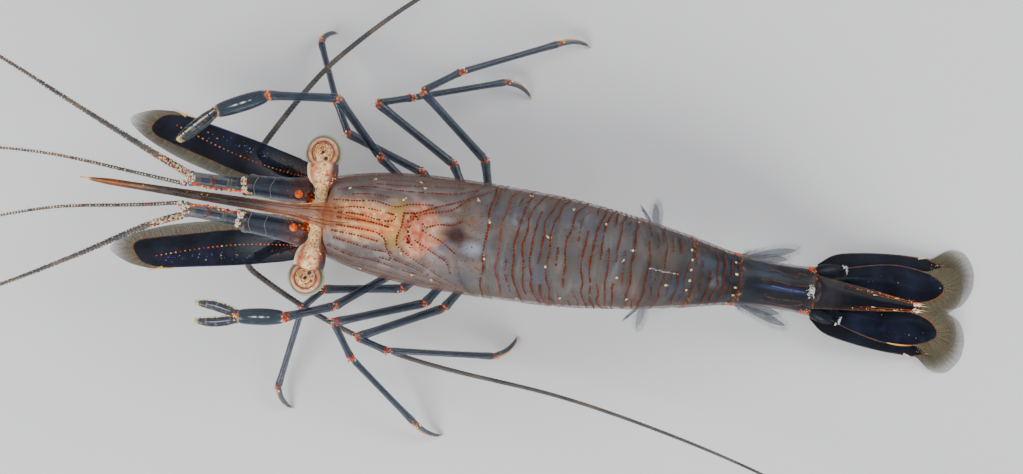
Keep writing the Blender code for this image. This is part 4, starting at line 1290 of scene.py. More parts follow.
def limb_paint(base, deep):
    """Clear and dark, darker underneath as painted shade, with paler edges as painted highlights, and
    cream, less clear joints.
    """
    def paint(share, way):
        joint = max(1 - smooth(0.0, 0.05, share), smooth(0.95, 0.99, share))
        edge = 1 - smooth(0.1, 0.36, abs(way.z))
        fleck = smooth(0.2, 0.45, ripple(share * 11, way.x, way.z, 0.3, 19.0))
        return cover(
            mix(deep, base, 0.5 + 0.5 * way.z),
            (LIMB_EDGE_HIGHLIGHT, 0.75 * edge),
            (srgb(150, 122, 84), 0.35 * fleck * edge),
            (srgb(150, 136, 118), 0.5 * joint),
        ), 0.7 + 0.12 * edge + 0.15 * joint

    return paint


def strand_paint(share, way):
    """A paler strand of muscle, lighter on top and darker underneath as painted shade, that fades out at
    both ends.
    """
    ends = min(smooth(0.0, 0.15, share), 1 - smooth(0.85, 1.0, share))
    return mix(srgb(60, 72, 92), srgb(96, 112, 134), 0.5 + 0.5 * way.z), 0.6 * ends + 0.05


def even_paint(tint, alpha=1.0):
    """Paint for a tube of one colour."""
    return lambda share, way: (tint, alpha)


def add_rows(shape, points, draw, size, gap, tint, skip=0.03):
    """A row of flat oval grains on the shell along a path of places and angles round the body."""
    fine = smooth_path([Vector((where, angle / 20, 0.0)) for where, angle in points], 14 * len(points))
    spots = [(point.x, point.y * 20, shell_point(point.x, point.y * 20)) for point in fine]
    left = 0.0
    for (where, angle, first), (next_where, next_angle, second) in zip(spots, spots[1:]):
        length = (second - first).length
        while left < length:
            share = left / length
            left += gap * draw.uniform(0.85, 1.2)
            if draw.random() < skip:
                continue
            shift = 0.03 * ripple(where, angle * 0.3, 0.0, 0.25, 3.0)
            spot = (where + (next_where - where) * share + shift, angle + (next_angle - angle) * share)
            shade = mix(tint, BROWN, draw.uniform(0.0, 0.5))
            radius = size * draw.uniform(0.8, 1.2)
            along = (second - first).normalized()
            shape.add_dot(shell_point(*spot, 0.004), body_normal(*spot), radius, 0.014, shade, 0, along)
        left -= length


def build_dots():
    """The rows of red-brown dots: along the carapace, across the tail and along its last segment; also two
    rows of painted highlights on the tail, pale and violet.
    """
    draw = random.Random("rows of dots")
    front = Shape()
    for route in CARAPACE_ROUTES:
        points = [(where, flank_angle(where, side)) for where, side in route]
        add_rows(front, points, draw, draw.uniform(0.052, 0.062), 0.155, RUST)
    for sign in (1, -1):
        for k in range(9):
            angle = sign * (72.0 + 7.5 * k)
            start, end = 1.2 + 0.6 * (k % 3), 8.9 - 0.08 * k
            wave = 3.0 * ripple(k, sign, 0.0, 0.7, 6.0)
            points = [(start, angle - wave), (4.0, angle + wave), (6.5, angle - wave), (end, angle - 3)]
            add_rows(front, points, draw, 0.052, 0.14, RUST, 0.06)
    front.make("carapace_dots", "grain", nodes=())
    tail = Shape()
    for number, middle in enumerate([9.42, 9.58, 10.15] + [10.6 + 0.425 * k for k in range(30)]):
        add_band(tail, draw, number, middle)
    for route in SEGMENT_LOOPS:
        add_rows(tail, route, draw, 0.045, 0.12, srgb(104, 60, 30), 0.08)
    # Jagged rows of pale dots on the fourth segment and violet dots on the sixth: painted highlights
    for start, end, tint in ((17.9, 19.5, srgb(226, 212, 210)), (24.9, 26.9, srgb(104, 106, 166))):
        painted_highlight = []
        for k in range(10):
            painted_highlight.append((start + (end - start) * k / 9, -2.0 - 0.3 * k + draw.uniform(-0.7, 0.7)))
        add_rows(tail, painted_highlight, draw, 0.03, 0.06, tint, 0.2)
    tail.make("tail_dots", "grain", nodes=())


def add_band(shape, draw, number, middle):
    """A wavy band of dots across the tail, with a gap or more in it."""
    sweep = 1.15 * (1 - smooth(14.0, 18.5, middle)) * smooth(8.8, 10.6, middle)
    strong = number % 2 == 0 or draw.random() < 0.45
    reach = draw.uniform(95, 112)
    breaks = [draw.uniform(-80, 80) for _ in range(1 if strong else 3)]
    size, skip, gap = (0.062, 0.03, 5) if strong else (0.05, 0.12, 11)
    shade = srgb(150, 56, 44) if number == 2 else mix(RUST, BROWN, 0.1 + 0.5 * smooth(12, 22, middle))
    run = []
    for k in range(18):
        angle = -reach + 2 * reach * k / 16
        if k < 17 and not any(abs(angle - spot) < gap for spot in breaks):
            wave = 0.10 * ripple(middle * 1.7, angle * 0.05, 0.0, 0.8, 27.0)
            wave += 0.05 * math.sin(angle * 0.16 + number)
            run.append((middle + sweep * (1 - math.cos(math.radians(angle))) + wave, angle))
            continue
        if len(run) > 2:
            add_rows(shape, run, draw, size, 0.15, shade, skip)
        run = []


def add_segment(shape, start, end, first, last, base=LIMB, deep=LIMB_UNDERSIDE_SHADE, bow=0.0):
    """One limb segment: a clear tube with a swelling at each joint and a strand of muscle inside."""
    bend = (end - start).cross(UP).cross(end - start)
    bend = bend.normalized() * bow if bend.length > 1e-6 else Vector()
    steps = 26
    path, radii, inner = [], [], []
    for k in range(steps + 1):
        share = 0.5 - 0.5 * math.cos(math.pi * k / steps)
        path.append(start.lerp(end, share) + bend * math.sin(math.pi * share))
        radii.append(smooth_table(SEGMENT_PROFILE, share)[0] * (first + (last - first) * share))
        even = k / steps
        slimmed = math.sin(math.pi * (0.08 + 0.84 * even)) ** 0.5
        inner.append((first + (last - first) * even) * 0.42 * slimmed)
    shape.add_tube(path, radii, 14, 0, limb_paint(base, deep))
    shape.add_tube(path, inner, 8, 1, strand_paint)


def add_joint_grains(shape, point, way, radius, draw, count):
    """Small orange-red and cream grains scattered round a joint."""
    tints = (ORANGE, ORANGE, srgb(214, 50, 14), RUST, CREAM, GOLD)
    way, side, up = across_axes(way)
    for _ in range(count):
        turn = math.pi / 2 + draw.gauss(0, 0.9)
        out = side * math.cos(turn) + up * math.sin(turn)
        centre = point + way * draw.gauss(0, 0.11) + out * radius * draw.uniform(0.96, 1.03)
        shape.add_blob(centre, out, draw.uniform(0.035, 0.07), 0.02, draw.choice(tints), 2, 6)


def add_spinules(shape, start, end, radius, draw, count, length):
    """A row of fine spines along the underside of a segment, leaning to its tip."""
    way = (end - start).normalized()
    down = (-UP + way * way.z).normalized()
    side = way.cross(down)
    for k in range(count):
        out = (down + side * draw.uniform(-0.9, 0.9)).normalized()
        root = start.lerp(end, (k + 0.6) / count) + out * radius * 0.85
        tip = root + (out * 0.75 + way * 0.8).normalized() * length * draw.uniform(0.7, 1.2)
        tip.z = max(tip.z, 0.03)
        shape.add_spike(root, tip, 0.018, srgb(206, 198, 178), 0.9, 3, 4)


def add_toe(shape, start, foot, lead):
    """The last joint of a walking leg: a glassy hook with a golden outer edge, standing on its tip."""
    end = Vector((*foot, 0.04))
    chord = (end - start).normalized()
    bow = (lead - chord * lead.dot(chord)).normalized()
    bow.z = max(bow.z, 0.25)
    curve = [start, start.lerp(end, 0.4) + bow * 0.22, start.lerp(end, 0.78) + bow * 0.18, end]
    path = smooth_path(curve, 23)
    radii = [0.16 * (1 - (k / 22) ** 2.4) ** 0.8 + 0.02 for k in range(23)]
    outward = bow.normalized()

    def paint(share, way):
        outer = smooth(0.6, 0.85, way.dot(outward))
        return cover(
            srgb(58, 66, 80),
            (srgb(228, 162, 96), 0.9 * outer),
            (srgb(150, 152, 156), 0.7 * smooth(0.6, 0.85, -way.dot(outward))),
            (srgb(210, 186, 148), smooth(0.8, 1.0, share)),
        ), 0.72 + 0.25 * outer

    shape.add_tube(path, radii, 14, 0, paint)


def build_leg(limb, i, side):
    """A leg of any kind on one side, from its hip in the body to its toe, small claw or brush."""
    draw = random.Random(f"{limb}{side}")
    joints = [Vector(joint) for joint in LEG_JOINTS[limb][i]]
    sizes = SEGMENT_RADII[limb]
    shape = Shape()
    add_segment(shape, joints[0] + UP * 0.75, joints[0] - UP * 0.12, 0.42, sizes[0] + 0.06)
    for k, (start, end) in enumerate(zip(joints, joints[1:])):
        last = sizes[min(k + 1, len(sizes) - 1)]
        add_segment(shape, start, end, sizes[k], (sizes[k] + last) / 2, bow=0.06 if k > 1 else 0.0)
        final = k == len(sizes) - 1
        if k >= 2:
            add_spinules(shape, start, end, sizes[k], draw, 14 if final else 5, 0.26)
        if k >= 1:
            size = 0.05 if final and limb in FEET else 0.085
            add_bead_ring(shape, end, end - start, sizes[k] * 1.05, draw, size)
    if limb in FEET:
        add_toe(shape, joints[-1], FEET[limb][i], joints[-1] - joints[-2])
    if limb == "feeding_leg":
        add_small_claw(shape, joints[-1], SMALL_CLAWS[i])
    if limb == "maxilliped":
        add_brush(shape, joints, draw)
    shape.make(f"{limb}_{side}", "glass strand grain hair", "limb")


def add_brush(shape, joints, draw):
    """The fine bristles on the last two joints of a mouth leg."""
    for start, end in zip(joints[2:], joints[3:]):
        way = (end - start).normalized()
        for k in range(46):
            turn = draw.uniform(0, 2 * math.pi)
            out = Vector((0.0, math.cos(turn), math.sin(turn)))
            root = start.lerp(end, (k + 0.5) / 46) + out * 0.2
            lean = (out + way * 0.7).normalized()
            shape.add_hair(root, lean, draw.uniform(0.3, 0.55), 0.012, PALE, 0.8, 3)


def add_small_claw(shape, wrist, claw):
    """The little pincer of a feeding leg."""
    palm_end, *tips = (Vector(point) for point in claw)
    add_segment(shape, wrist, palm_end, 0.2, 0.24)
    for tip in tips:
        radii = [0.12 * (1 - k / 8) ** 0.6 + 0.02 for k in range(9)]
        shape.add_tube(straight_path(palm_end, tip, 8), radii, 8, 0, limb_paint(LIMB, LIMB_UNDERSIDE_SHADE))


PALM_PROFILE = (
    (0.0, 0.50), (0.03, 0.70), (0.12, 0.86), (0.35, 1.0), (0.65, 1.0), (0.88, 0.88), (0.97, 0.72),
    (1.0, 0.5),
)


def finger_paint(share, way):
    """Dark teal, darker underneath as painted shade, with pale edges as painted highlights, cream flecks
    and a golden tip.
    """
    edge = 1 - smooth(0.1, 0.35, abs(way.z))
    return cover(
        mix(srgb(14, 30, 42), TEAL, 0.5 + 0.5 * way.z),
        (srgb(150, 160, 146), 0.7 * edge),
        (srgb(176, 160, 130), 0.35 * smooth(0.25, 0.4, ripple(share * 6, way.x, way.z, 0.3, 61.0))),
        (srgb(224, 196, 128), smooth(0.88, 0.98, share)),
    ), 0.78 + 0.2 * edge


def add_finger(shape, start, tip, bow, inner, draw):
    """A blunt finger with beads down both its edges, a pale streak inside and tufts of bristles."""
    path = smooth_path([start, start.lerp(tip, 0.5) + bow, start.lerp(tip, 0.85) + bow * 0.6, tip], 31)
    radii = [0.28 * (0.8 + 0.2 * smooth(0, 8, k)) * (1 - (k / 30.5) ** 5) ** 0.6 + 0.012 for k in range(31)]
    shape.add_tube(path, radii, 16, 0, finger_paint, flat=0.75)
    way = (tip - start).normalized()
    across = inner.normalized()
    tints = (CREAM, srgb(240, 200, 110), WHITE, srgb(170, 210, 206), srgb(236, 206, 130))
    for k in range(1, 30):
        for sign in (1, 1, -1, -1):
            if draw.random() < (0.95 if sign > 0 else 0.7):
                slide = way * draw.uniform(-0.04, 0.04)
                bead = path[k] + across * sign * radii[k] * draw.uniform(0.84, 0.98) + UP * 0.07 + slide
                shape.add_blob(bead, UP, draw.uniform(0.034, 0.06), 0.035, draw.choice(tints), 2, 6)
    streak = [path[k] + UP * radii[k] * 0.72 for k in range(3, 24)]
    streak_radii = [0.004 + 0.02 * math.sin(math.pi * (k + 0.5) / 21) for k in range(21)]
    shape.add_tube(streak, streak_radii, 6, 2, even_paint(srgb(186, 170, 196)))
    shape.add_spike(path[-2], tip + way * 0.05 + across * 0.14, 0.05, srgb(226, 214, 176), 0.9, 0, 8)
    for k in range(4, 29, 3):
        for _ in range(4):
            out = any_way(draw, -0.4)
            root = path[k] + out * radii[k] * 0.8
            shape.add_hair(root, (out + way).normalized(), 0.2, 0.008, PALE, 0.7, 3)


def build_claw(i, side, wrist):
    """A big pincer: palm with its fixed finger, and the moving finger."""
    draw = random.Random(f"claw{side}")
    *points, size = BIG_CLAWS[i]
    palm_end, fixed_tip, moving_tip = (Vector(point) for point in points)
    radius = size * 0.96
    way = palm_end - wrist
    path = straight_path(wrist, palm_end, 36)
    radii = [smooth_table(PALM_PROFILE, k / 36)[0] * radius for k in range(37)]
    parting = (moving_tip - fixed_tip).normalized()
    palm, finger = Shape(), Shape()

    # Darker underneath as painted shade, with paler sides as painted highlights
    def paint(share, way):
        ends = max(1 - smooth(0.0, 0.06, share), smooth(0.92, 0.99, share))
        edge = 1 - smooth(0.08, 0.34, abs(way.z))
        return cover(
            mix(srgb(12, 20, 32), TEAL, 0.5 + 0.5 * way.z),
            (srgb(84, 122, 138), 0.75 * edge),
            (srgb(58, 76, 90), 0.3 * smooth(0.0, 0.4, ripple(share * 3, way.x, way.z, 0.5, 33.0))),
            (srgb(206, 180, 132), 0.6 * ends),
        ), 0.8 + 0.1 * edge + 0.08 * ends

    # The pale streak along the top of the palm is a painted highlight
    def palm_highlight_paint(share, way):
        patchy = smooth(-0.25, 0.2, ripple(share * 4, 0.0, 0.0, 0.5, 9.0))
        return mix(srgb(60, 84, 100), srgb(226, 214, 208), 0.9 * patchy * smooth(0.1, 0.3, share)), 0.9

    palm.add_tube(path, radii, 32, 0, paint, flat=0.92)
    streak = [path[k] + UP * radii[k] * 0.86 for k in range(7, 30)]
    streak_radii = [0.055 * math.sin(math.pi * (k + 0.5) / 23) + 0.006 for k in range(23)]
    palm.add_tube(streak, streak_radii, 8, 2, palm_highlight_paint)
    add_bead_ring(palm, wrist, way, radius * 0.62, draw, 0.095)
    add_joint_grains(palm, wrist, way, radius * 0.6, draw, 14)
    add_joint_grains(palm, palm_end, way, radius * 0.6, draw, 30)
    for shape, tip, sign in ((palm, fixed_tip, -1), (finger, moving_tip, 1)):
        start = palm_end.lerp(tip, -0.03) + parting * sign * 0.16
        add_finger(shape, start, tip, parting * sign * 0.12, parting * -sign, draw)
    palm.make(f"claw_{side}", "glass strand grain hair", "claw")
    finger.make(f"claw_moving_finger_{side}", "glass strand grain hair", "claw")


# ---------------------------------------------------------------- feelers
def feeler_radii(count, start, end, power, length):
    """Radii along a feeler: a taper with a fine swelling at each ring."""
    radii = []
    for k in range(count):
        share = k / (count - 1)
        taper = end + (start - end) * (1 - share) ** power
        radii.append(taper * (1 + 0.10 * math.sin(2 * math.pi * share * length / FEELER_RING)))
    return radii


def build_feeler(name, points, start, end, power, nodes=None, stout=0.0, bristles=0, specks=()):
    """A fine ringed feeler. stout is its share mottled white and orange; specks are rows of pale grains,
    each a turn round the feeler and the shares where the row starts and ends.
    """
    draw = random.Random(name)
    points = [Vector(point) for point in points]
    length = path_length(points)
    count = int(length / FEELER_RING * 4)
    path = smooth_path(points, count)
    radii = feeler_radii(count, start, end, power, length)

    def paint(share, way):
        drift = smooth(-0.3, 0.4, ripple(share * length, 0.0, 0.0, 1.6, 5.0))
        shade = mix(srgb(60, 61, 64), srgb(94, 84, 74), drift)
        shade = mix(shade, srgb(150, 130, 104), 0.5 * (1 - smooth(0.15, 0.55, abs(way.z))))
        if share < stout * 1.5:
            mottle = smooth(-0.2, 0.2, ripple(share * length, way.y, 0.0, 0.4))
            bare = mix(srgb(70, 62, 58), srgb(150, 116, 84), mottle)
            shade = mix(bare, shade, smooth(stout * 0.8, stout * 1.5, share))
        return shade, 0.84

    shape = Shape()
    shape.add_tube(path, radii, 16, 0, paint)
    axes = axes_along(path)

    def outward(at, turn):
        return axes[at][2] * math.cos(turn) + axes[at][3] * math.sin(turn)

    def fleck(at, turn, width, tint):
        out = outward(at, turn)
        shape.add_dot(path[at] + out * radii[at] * 0.97, out, width, 0.02, tint, 2, axes[at][1])

    for _ in range(int(stout * length * 130)):
        at = int(stout * count * 1.15 * draw.random() ** 1.3)
        tint = draw.choice((WHITE, CREAM, CREAM, srgb(230, 190, 120), srgb(206, 84, 36), srgb(60, 48, 44)))
        fleck(at, math.radians(draw.gauss(90, 60)), draw.uniform(0.025, 0.06), tint)
    for turn, first, last in specks:
        for at in range(int(first * count), int(last * count), 3):
            if draw.random() < 0.85:
                tint = draw.choice((WHITE, WHITE, CREAM, srgb(236, 206, 140), srgb(210, 120, 66)))
                fleck(at, math.radians(turn) + draw.gauss(0, 0.12), draw.uniform(0.03, 0.048), tint)
    for k in range(bristles):
        at = int((k + 0.5) / bristles * count * 0.8)
        out = outward(at, draw.uniform(0, 2 * math.pi))
        reach = draw.uniform(0.14, 0.34)
        lean = (out + axes[at][1] * 0.6).normalized()
        shape.add_hair(path[at] + out * radii[at], lean, reach, 0.008, PALE, 0.8, 1)
    shape.make(name, "feeler hair grain", "feeler", nodes)


def add_powder(shape, centre, spread, draw, count, slot=2):
    """A heap of fine white and pale yellow grains with a few orange dots."""
    wide, deep = spread
    for _ in range(count):
        turn, away = draw.uniform(0, 2 * math.pi), draw.random() ** 0.6
        spot = centre + Vector((math.cos(turn) * wide, math.sin(turn) * deep, 0.0)) * away
        spot.z += 0.05 * (1 - away**2)
        tint = draw.choice((WHITE, WHITE, srgb(222, 222, 196), srgb(230, 214, 160), CREAM))
        lean = UP + Vector((draw.gauss(0, 0.3), draw.gauss(0, 0.3), 0))
        shape.add_blob(spot, lean, draw.uniform(0.03, 0.06), 0.04, tint, slot, 6)
    for _ in range(3):
        spot = centre + Vector((draw.gauss(0, wide * 0.5), draw.gauss(0, deep * 0.5), 0.07))
        shape.add_blob(spot, UP, draw.uniform(0.045, 0.06), 0.04, srgb(226, 66, 24), slot, 8)


def build_antennule(i, side, sign):
    """A broad, flat, clear base and two slimmer joints, powdered white at their ends, with two feelers."""
    draw = random.Random(f"antennule{side}")

    def at(x, y, z):
        return Vector((x, y * sign, z))

    joints = (at(-0.4, 1.05, 5.85), at(-4.05, 1.0, 5.9), at(-4.95, 0.9, 5.9), at(-7.25, 0.85, 5.85))
    shape = Shape()
    # Darker underneath as painted shade and paler at the edges as painted highlights
    paint = limb_paint(srgb(40, 48, 64), srgb(22, 28, 44))
    for k, (first, last, flat, opacity) in enumerate(ANTENNULE_SIZES):
        radii = []
        for t in range(25):
            radii.append(smooth_table(SEGMENT_PROFILE, t / 24)[0] * (first + (last - first) * t / 24))
        warm = 0.75 if k == 0 else 0.0

        def clear_paint(share, way):
            shade, solid = paint(share, way)
            # A tan, mottled patch on the top of each stretch: a painted highlight
            top_highlight = smooth(0.0, 0.4, ripple(share * 5 + k, way.x, way.z, 0.5, 29.0))
            top_highlight *= smooth(0.3, 0.8, way.z)
            return cover(
                shade,
                (srgb(118, 66, 46), warm * smooth(0.5, 0.1, share) * smooth(-0.3, 0.5, way.z)),
                (srgb(140, 122, 96), 0.4 * top_highlight),
            ), solid * opacity

        path = straight_path(joints[k], joints[k + 1], 24)
        shape.add_tube(path, radii, 24, 0, clear_paint, flat)
        shape.add_tube(path, [radius * 0.35 for radius in radii], 10, 1, strand_paint)
    for spot, spread in ((at(-4.1, 0.68, 6.22), (0.2, 0.2)), (at(-4.2, 1.15, 6.2), (0.16, 0.24)),
                         (at(-7.15, 0.85, 6.18), (0.3, 0.3)), (at(-7.5, 0.6, 6.05), (0.14, 0.12))):
        add_powder(shape, spot, spread, draw, 44)
    row = (at(-3.7, 0.55, 6.2), at(-4.6, 0.58, 6.24), at(-6.0, 0.5, 6.22), at(-7.0, 0.6, 6.15))
    for spot in smooth_path(row, 44):
        tint = draw.choice((ORANGE, srgb(214, 84, 30), RUST, srgb(226, 96, 40), GOLD))
        spot.y += draw.gauss(0, 0.02)
        shape.add_dot(spot, UP, draw.uniform(0.04, 0.07), 0.03, tint, 2, REARWARD)
    for k in range(14):
        spot = at(-5.75 - 0.006 * (k - 6) ** 2, 0.6 + 0.04 * k, 6.25 - 0.0035 * (k - 7) ** 2)
        shape.add_dot(spot, UP, 0.04, 0.02, srgb(130, 56, 26), 2)
    shape.add_spike(at(-1.2, 1.52, 5.85), at(-3.1, 1.86, 5.9), 0.12, srgb(96, 104, 116), 0.6, 0, 10)
    for x in (-3.5, -2.6):
        arc = smooth_path((at(x, 0.5, 6.18), at(x - 0.12, 1.0, 6.27), at(x + 0.05, 1.5, 6.08)), 16)
        shape.add_tube(arc, [0.012] * 16, 5, 3, even_paint(srgb(150, 146, 140), 0.8))
    shape.make(f"antennule_stem_{side}", "glass strand grain hair", "limb")
    build_feeler(
        f"antennule_outer_feeler_{side}", ANTENNULE_OUTER[i], 0.21, 0.07, 2.0,
        stout=0.075, bristles=60, specks=((38, 0.08, 0.8), (142, 0.08, 0.8)),
    )
    build_feeler(
        f"antennule_inner_feeler_{side}", ANTENNULE_INNER[i], 0.11, 0.05, 1.5,
        bristles=130, specks=((90, 0.02, 0.7), (60, 0.3, 0.6)),
    )


def build_antenna(i, side):
    """The stout stem below each scale, and the long feeler on it."""
    draw = random.Random(f"antenna{side}")
    root, knee, end = (Vector(point) for point in ANTENNA_STEM[i])
    shape = Shape()
    add_segment(shape, root, knee, 0.40, 0.40)
    add_segment(shape, knee, end, 0.34, 0.30)
    add_joint_grains(shape, knee, knee - root, 0.34, draw, 10)
    for _ in range(10):
        way = any_way(draw, 0.0)
        shape.add_blob(end + way * 0.26, way, draw.uniform(0.06, 0.10), 0.04, CREAM, 2, 7)
    shape.make(f"antenna_stem_{side}", "glass strand grain hair", "limb")
    nodes = [f"antenna_feeler_{side}_{k}" for k in (1, 2, 3)]
    build_feeler(f"antenna_feeler_{side}", ANTENNA_FLAGELLUM[i], 0.17, 0.05, 1.3, nodes, bristles=30)


# ---------------------------------------------------------------- fins and paddles
class Blade:
    """A fin laid in space: its base point, the way along it, the way to its outer side and its outline.

    Round its dark core it has a combed film: out from the outline to the width that margin gives, or, where
    a core outline is given, between that and the outline.
    """

    def __init__(self, base, along, across, outline, margin=None, core=None, scale=(1.0, 1.0)):
        self.base, self.along = Vector(base), Vector(along).normalized()
        across = Vector(across)
        self.across = (across - self.along * self.along.dot(across)).normalized()
        self.normal = self.along.cross(self.across)
        if self.normal.z < 0:
            self.normal = -self.normal
        polygon = smooth_outline([(row[0] * scale[0], row[1] * scale[1], *row[2:]) for row in outline])
        self.core = smooth_outline(core) if core else polygon
        count = len(self.core)
        turn = sum(self.core[k - 1].cross(self.core[k]) for k in range(count))
        self.outs, shifted = [], []
        for k, spot in enumerate(self.core):
            way = (self.core[(k + 1) % count] - self.core[k - 1]).normalized()
            out = Vector((way.y, -way.x)) * (1 if turn > 0 else -1)
            width = self.reach(spot, out, polygon) if core else margin(*spot) if margin else 0.0
            shifted.append(spot + out * width)
            self.outs.append((out, width))
        self.polygon = polygon if core else shifted
        self.length = max(point.x for point in self.polygon)
        self.starts = np.array([tuple(point) for point in self.core])
        self.steps = np.roll(self.starts, -1, axis=0) - self.starts
        self.runs = np.concatenate(([0.0], np.cumsum(np.hypot(*self.steps.T))))

    @staticmethod
    def reach(spot, way, polygon):
        """How far it is from a spot to the polygon's edge, the way given."""
        found = 1.5
        for k, end in enumerate(polygon):
            start = polygon[k - 1]
            step, gap = end - start, start - spot
            level = way.cross(step)
            if abs(level) > 1e-9:
                away, share = gap.cross(step) / level, gap.cross(way) / level
                if 0 < away < found and 0 <= share <= 1:
                    found = away
        return found

    def point(self, along, across, lift=0.0):
        """A point of space from its distances along, across and off the blade."""
        return self.base + self.along * along + self.across * across + self.normal * lift

    def rim(self, along, across):
        """How far a point is inside the core's outline, and how far round it the nearest point is."""
        spot = np.array((along, across))
        squares = np.maximum((self.steps**2).sum(axis=1), 1e-12)
        shares = ((spot - self.starts) * self.steps).sum(axis=1) / squares
        shares = np.clip(shares, 0.0, 1.0)
        gaps = np.hypot(*(self.starts + self.steps * shares[:, None] - spot).T)
        near = int(np.argmin(gaps))
        ends = self.starts + self.steps
        crossed = (self.starts[:, 1] > across) != (ends[:, 1] > across)
        with np.errstate(divide="ignore", invalid="ignore"):
            meets = self.starts[:, 0] + (across - self.starts[:, 1]) / self.steps[:, 1] * self.steps[:, 0]
        inside = int(np.count_nonzero(crossed & (meets > along))) % 2
        run = self.runs[near] + shares[near] * (self.runs[near + 1] - self.runs[near])
        return float(gaps[near]) * (1 if inside else -1), float(run)


def fin_paint(along, across, rim):
    """Dark blue with violet clouds."""
    cloud = ripple(along, across, 0.0, 1.2, 6.0)
    shade = mix(NAVY_DEEP, NAVY, 0.5 + 0.9 * cloud)
    return mix(shade, srgb(34, 32, 62), 0.4 * smooth(0.2, 0.5, ripple(along, across, 0.0, 0.5, 16.0))), 0.9


def scale_paint(along, across, rim):
    """Like the tail's blades, but clearer where the feeler's stem lies under it."""
    shade, alpha = fin_paint(along, across, rim)
    return shade, alpha - 0.22 * blot(along, across, (1.6, 0.0), (2.2, 0.8), 0.6)


def add_blade(shape, blade, thick=0.05, arch=0.0, droop=0.0, rib=0.0, paint=fin_paint, slot=0, amber=None):
    """A thin closed blade; amber(along, across) is the strength of the amber line near there."""
    rows, columns, edge = 72, 25, 0.012
    top, bottom = [], []
    for i in range(rows + 1):
        along = blade.length * (0.002 + 0.996 * (0.5 - 0.5 * math.cos(math.pi * i / rows)))
        low, high = outline_span(blade.polygon, along)
        for grid in (top, bottom):
            grid.append([])
        for k in range(columns):
            t = 2 * k / (columns - 1) - 1
            t = math.copysign(abs(t) ** 0.8, t)
            across = (low + high) / 2 + (high - low) / 2 * t
            rim, run = blade.rim(along, across)
            lift = arch * (1 - t * t) - droop * (along / blade.length) ** 2
            half = edge + (thick - edge) * smooth(0.0, 0.7, rim)
            ridge = rib * math.exp(-((t / 0.1) ** 2)) * smooth(blade.length, blade.length * 0.6, along)
            tint, alpha = paint(along, across, rim)
            measure = (rim, amber(along, across) if amber else 0.0)
            for grid, offset, floor in ((top, half + ridge, 0.02), (bottom, -half, 0.008)):
                point = blade.point(along, across, lift + offset)
                point.z = max(point.z, floor)
                grid[-1].append(shape.add_point(point, tint, alpha, (run, across), measure))
    shape.add_slab(top, bottom, slot, flip=blade.along.cross(blade.across).z > 0)


def build_fringe(name, blade, spacing, draw, droop=0.0, alpha=0.5):
    """Fine hairs from a blade's core out to the edge of its film, close together all round."""
    shape = Shape()
    coat = []
    count = len(blade.core)
    for i in range(count):
        first, second = blade.core[i], blade.core[(i + 1) % count]
        (out, width), (next_out, next_width) = blade.outs[i], blade.outs[(i + 1) % count]
        if max(width, next_width) < 0.12:
            continue
        steps = max(round((second - first).length / spacing), 1)
        for k in range(steps):
            spot = first.lerp(second, k / steps)
            way = out.lerp(next_out, k / steps).normalized()
            way = (way + Vector((0.35, 0.0))).normalized()
            reach = (width + (next_width - width) * k / steps) * draw.uniform(0.85, 1.08)
            root = blade.point(*spot, 0.02 - droop * (spot.x / blade.length) ** 2)
            stray = Vector((draw.gauss(0, 0.04), draw.gauss(0, 0.04), draw.uniform(-0.02, 0.03)))
            line = (blade.along * way.x + blade.across * way.y + stray).normalized()
            if root.z + line.z * reach < 0.03:
                line.z = (0.03 - root.z) / max(reach, 1e-6)
            before = len(shape.points)
            tint = mix(mix(OLIVE, PALE, draw.random()), GOLD, draw.uniform(0, 0.3))
            shape.add_hair(root, line, reach, 0.011, tint, alpha)
            u, v = 0.05 + 0.9 * spot.x / blade.length, 0.5 + 0.12 * spot.y
            corners = range(len(shape.points) - before)
            coat += [(u + 0.001 * (corner % 3), v + 0.001 * (corner // 3)) for corner in corners]
    shape.make(name, "hair", "fin", nodes=(), coat=coat)


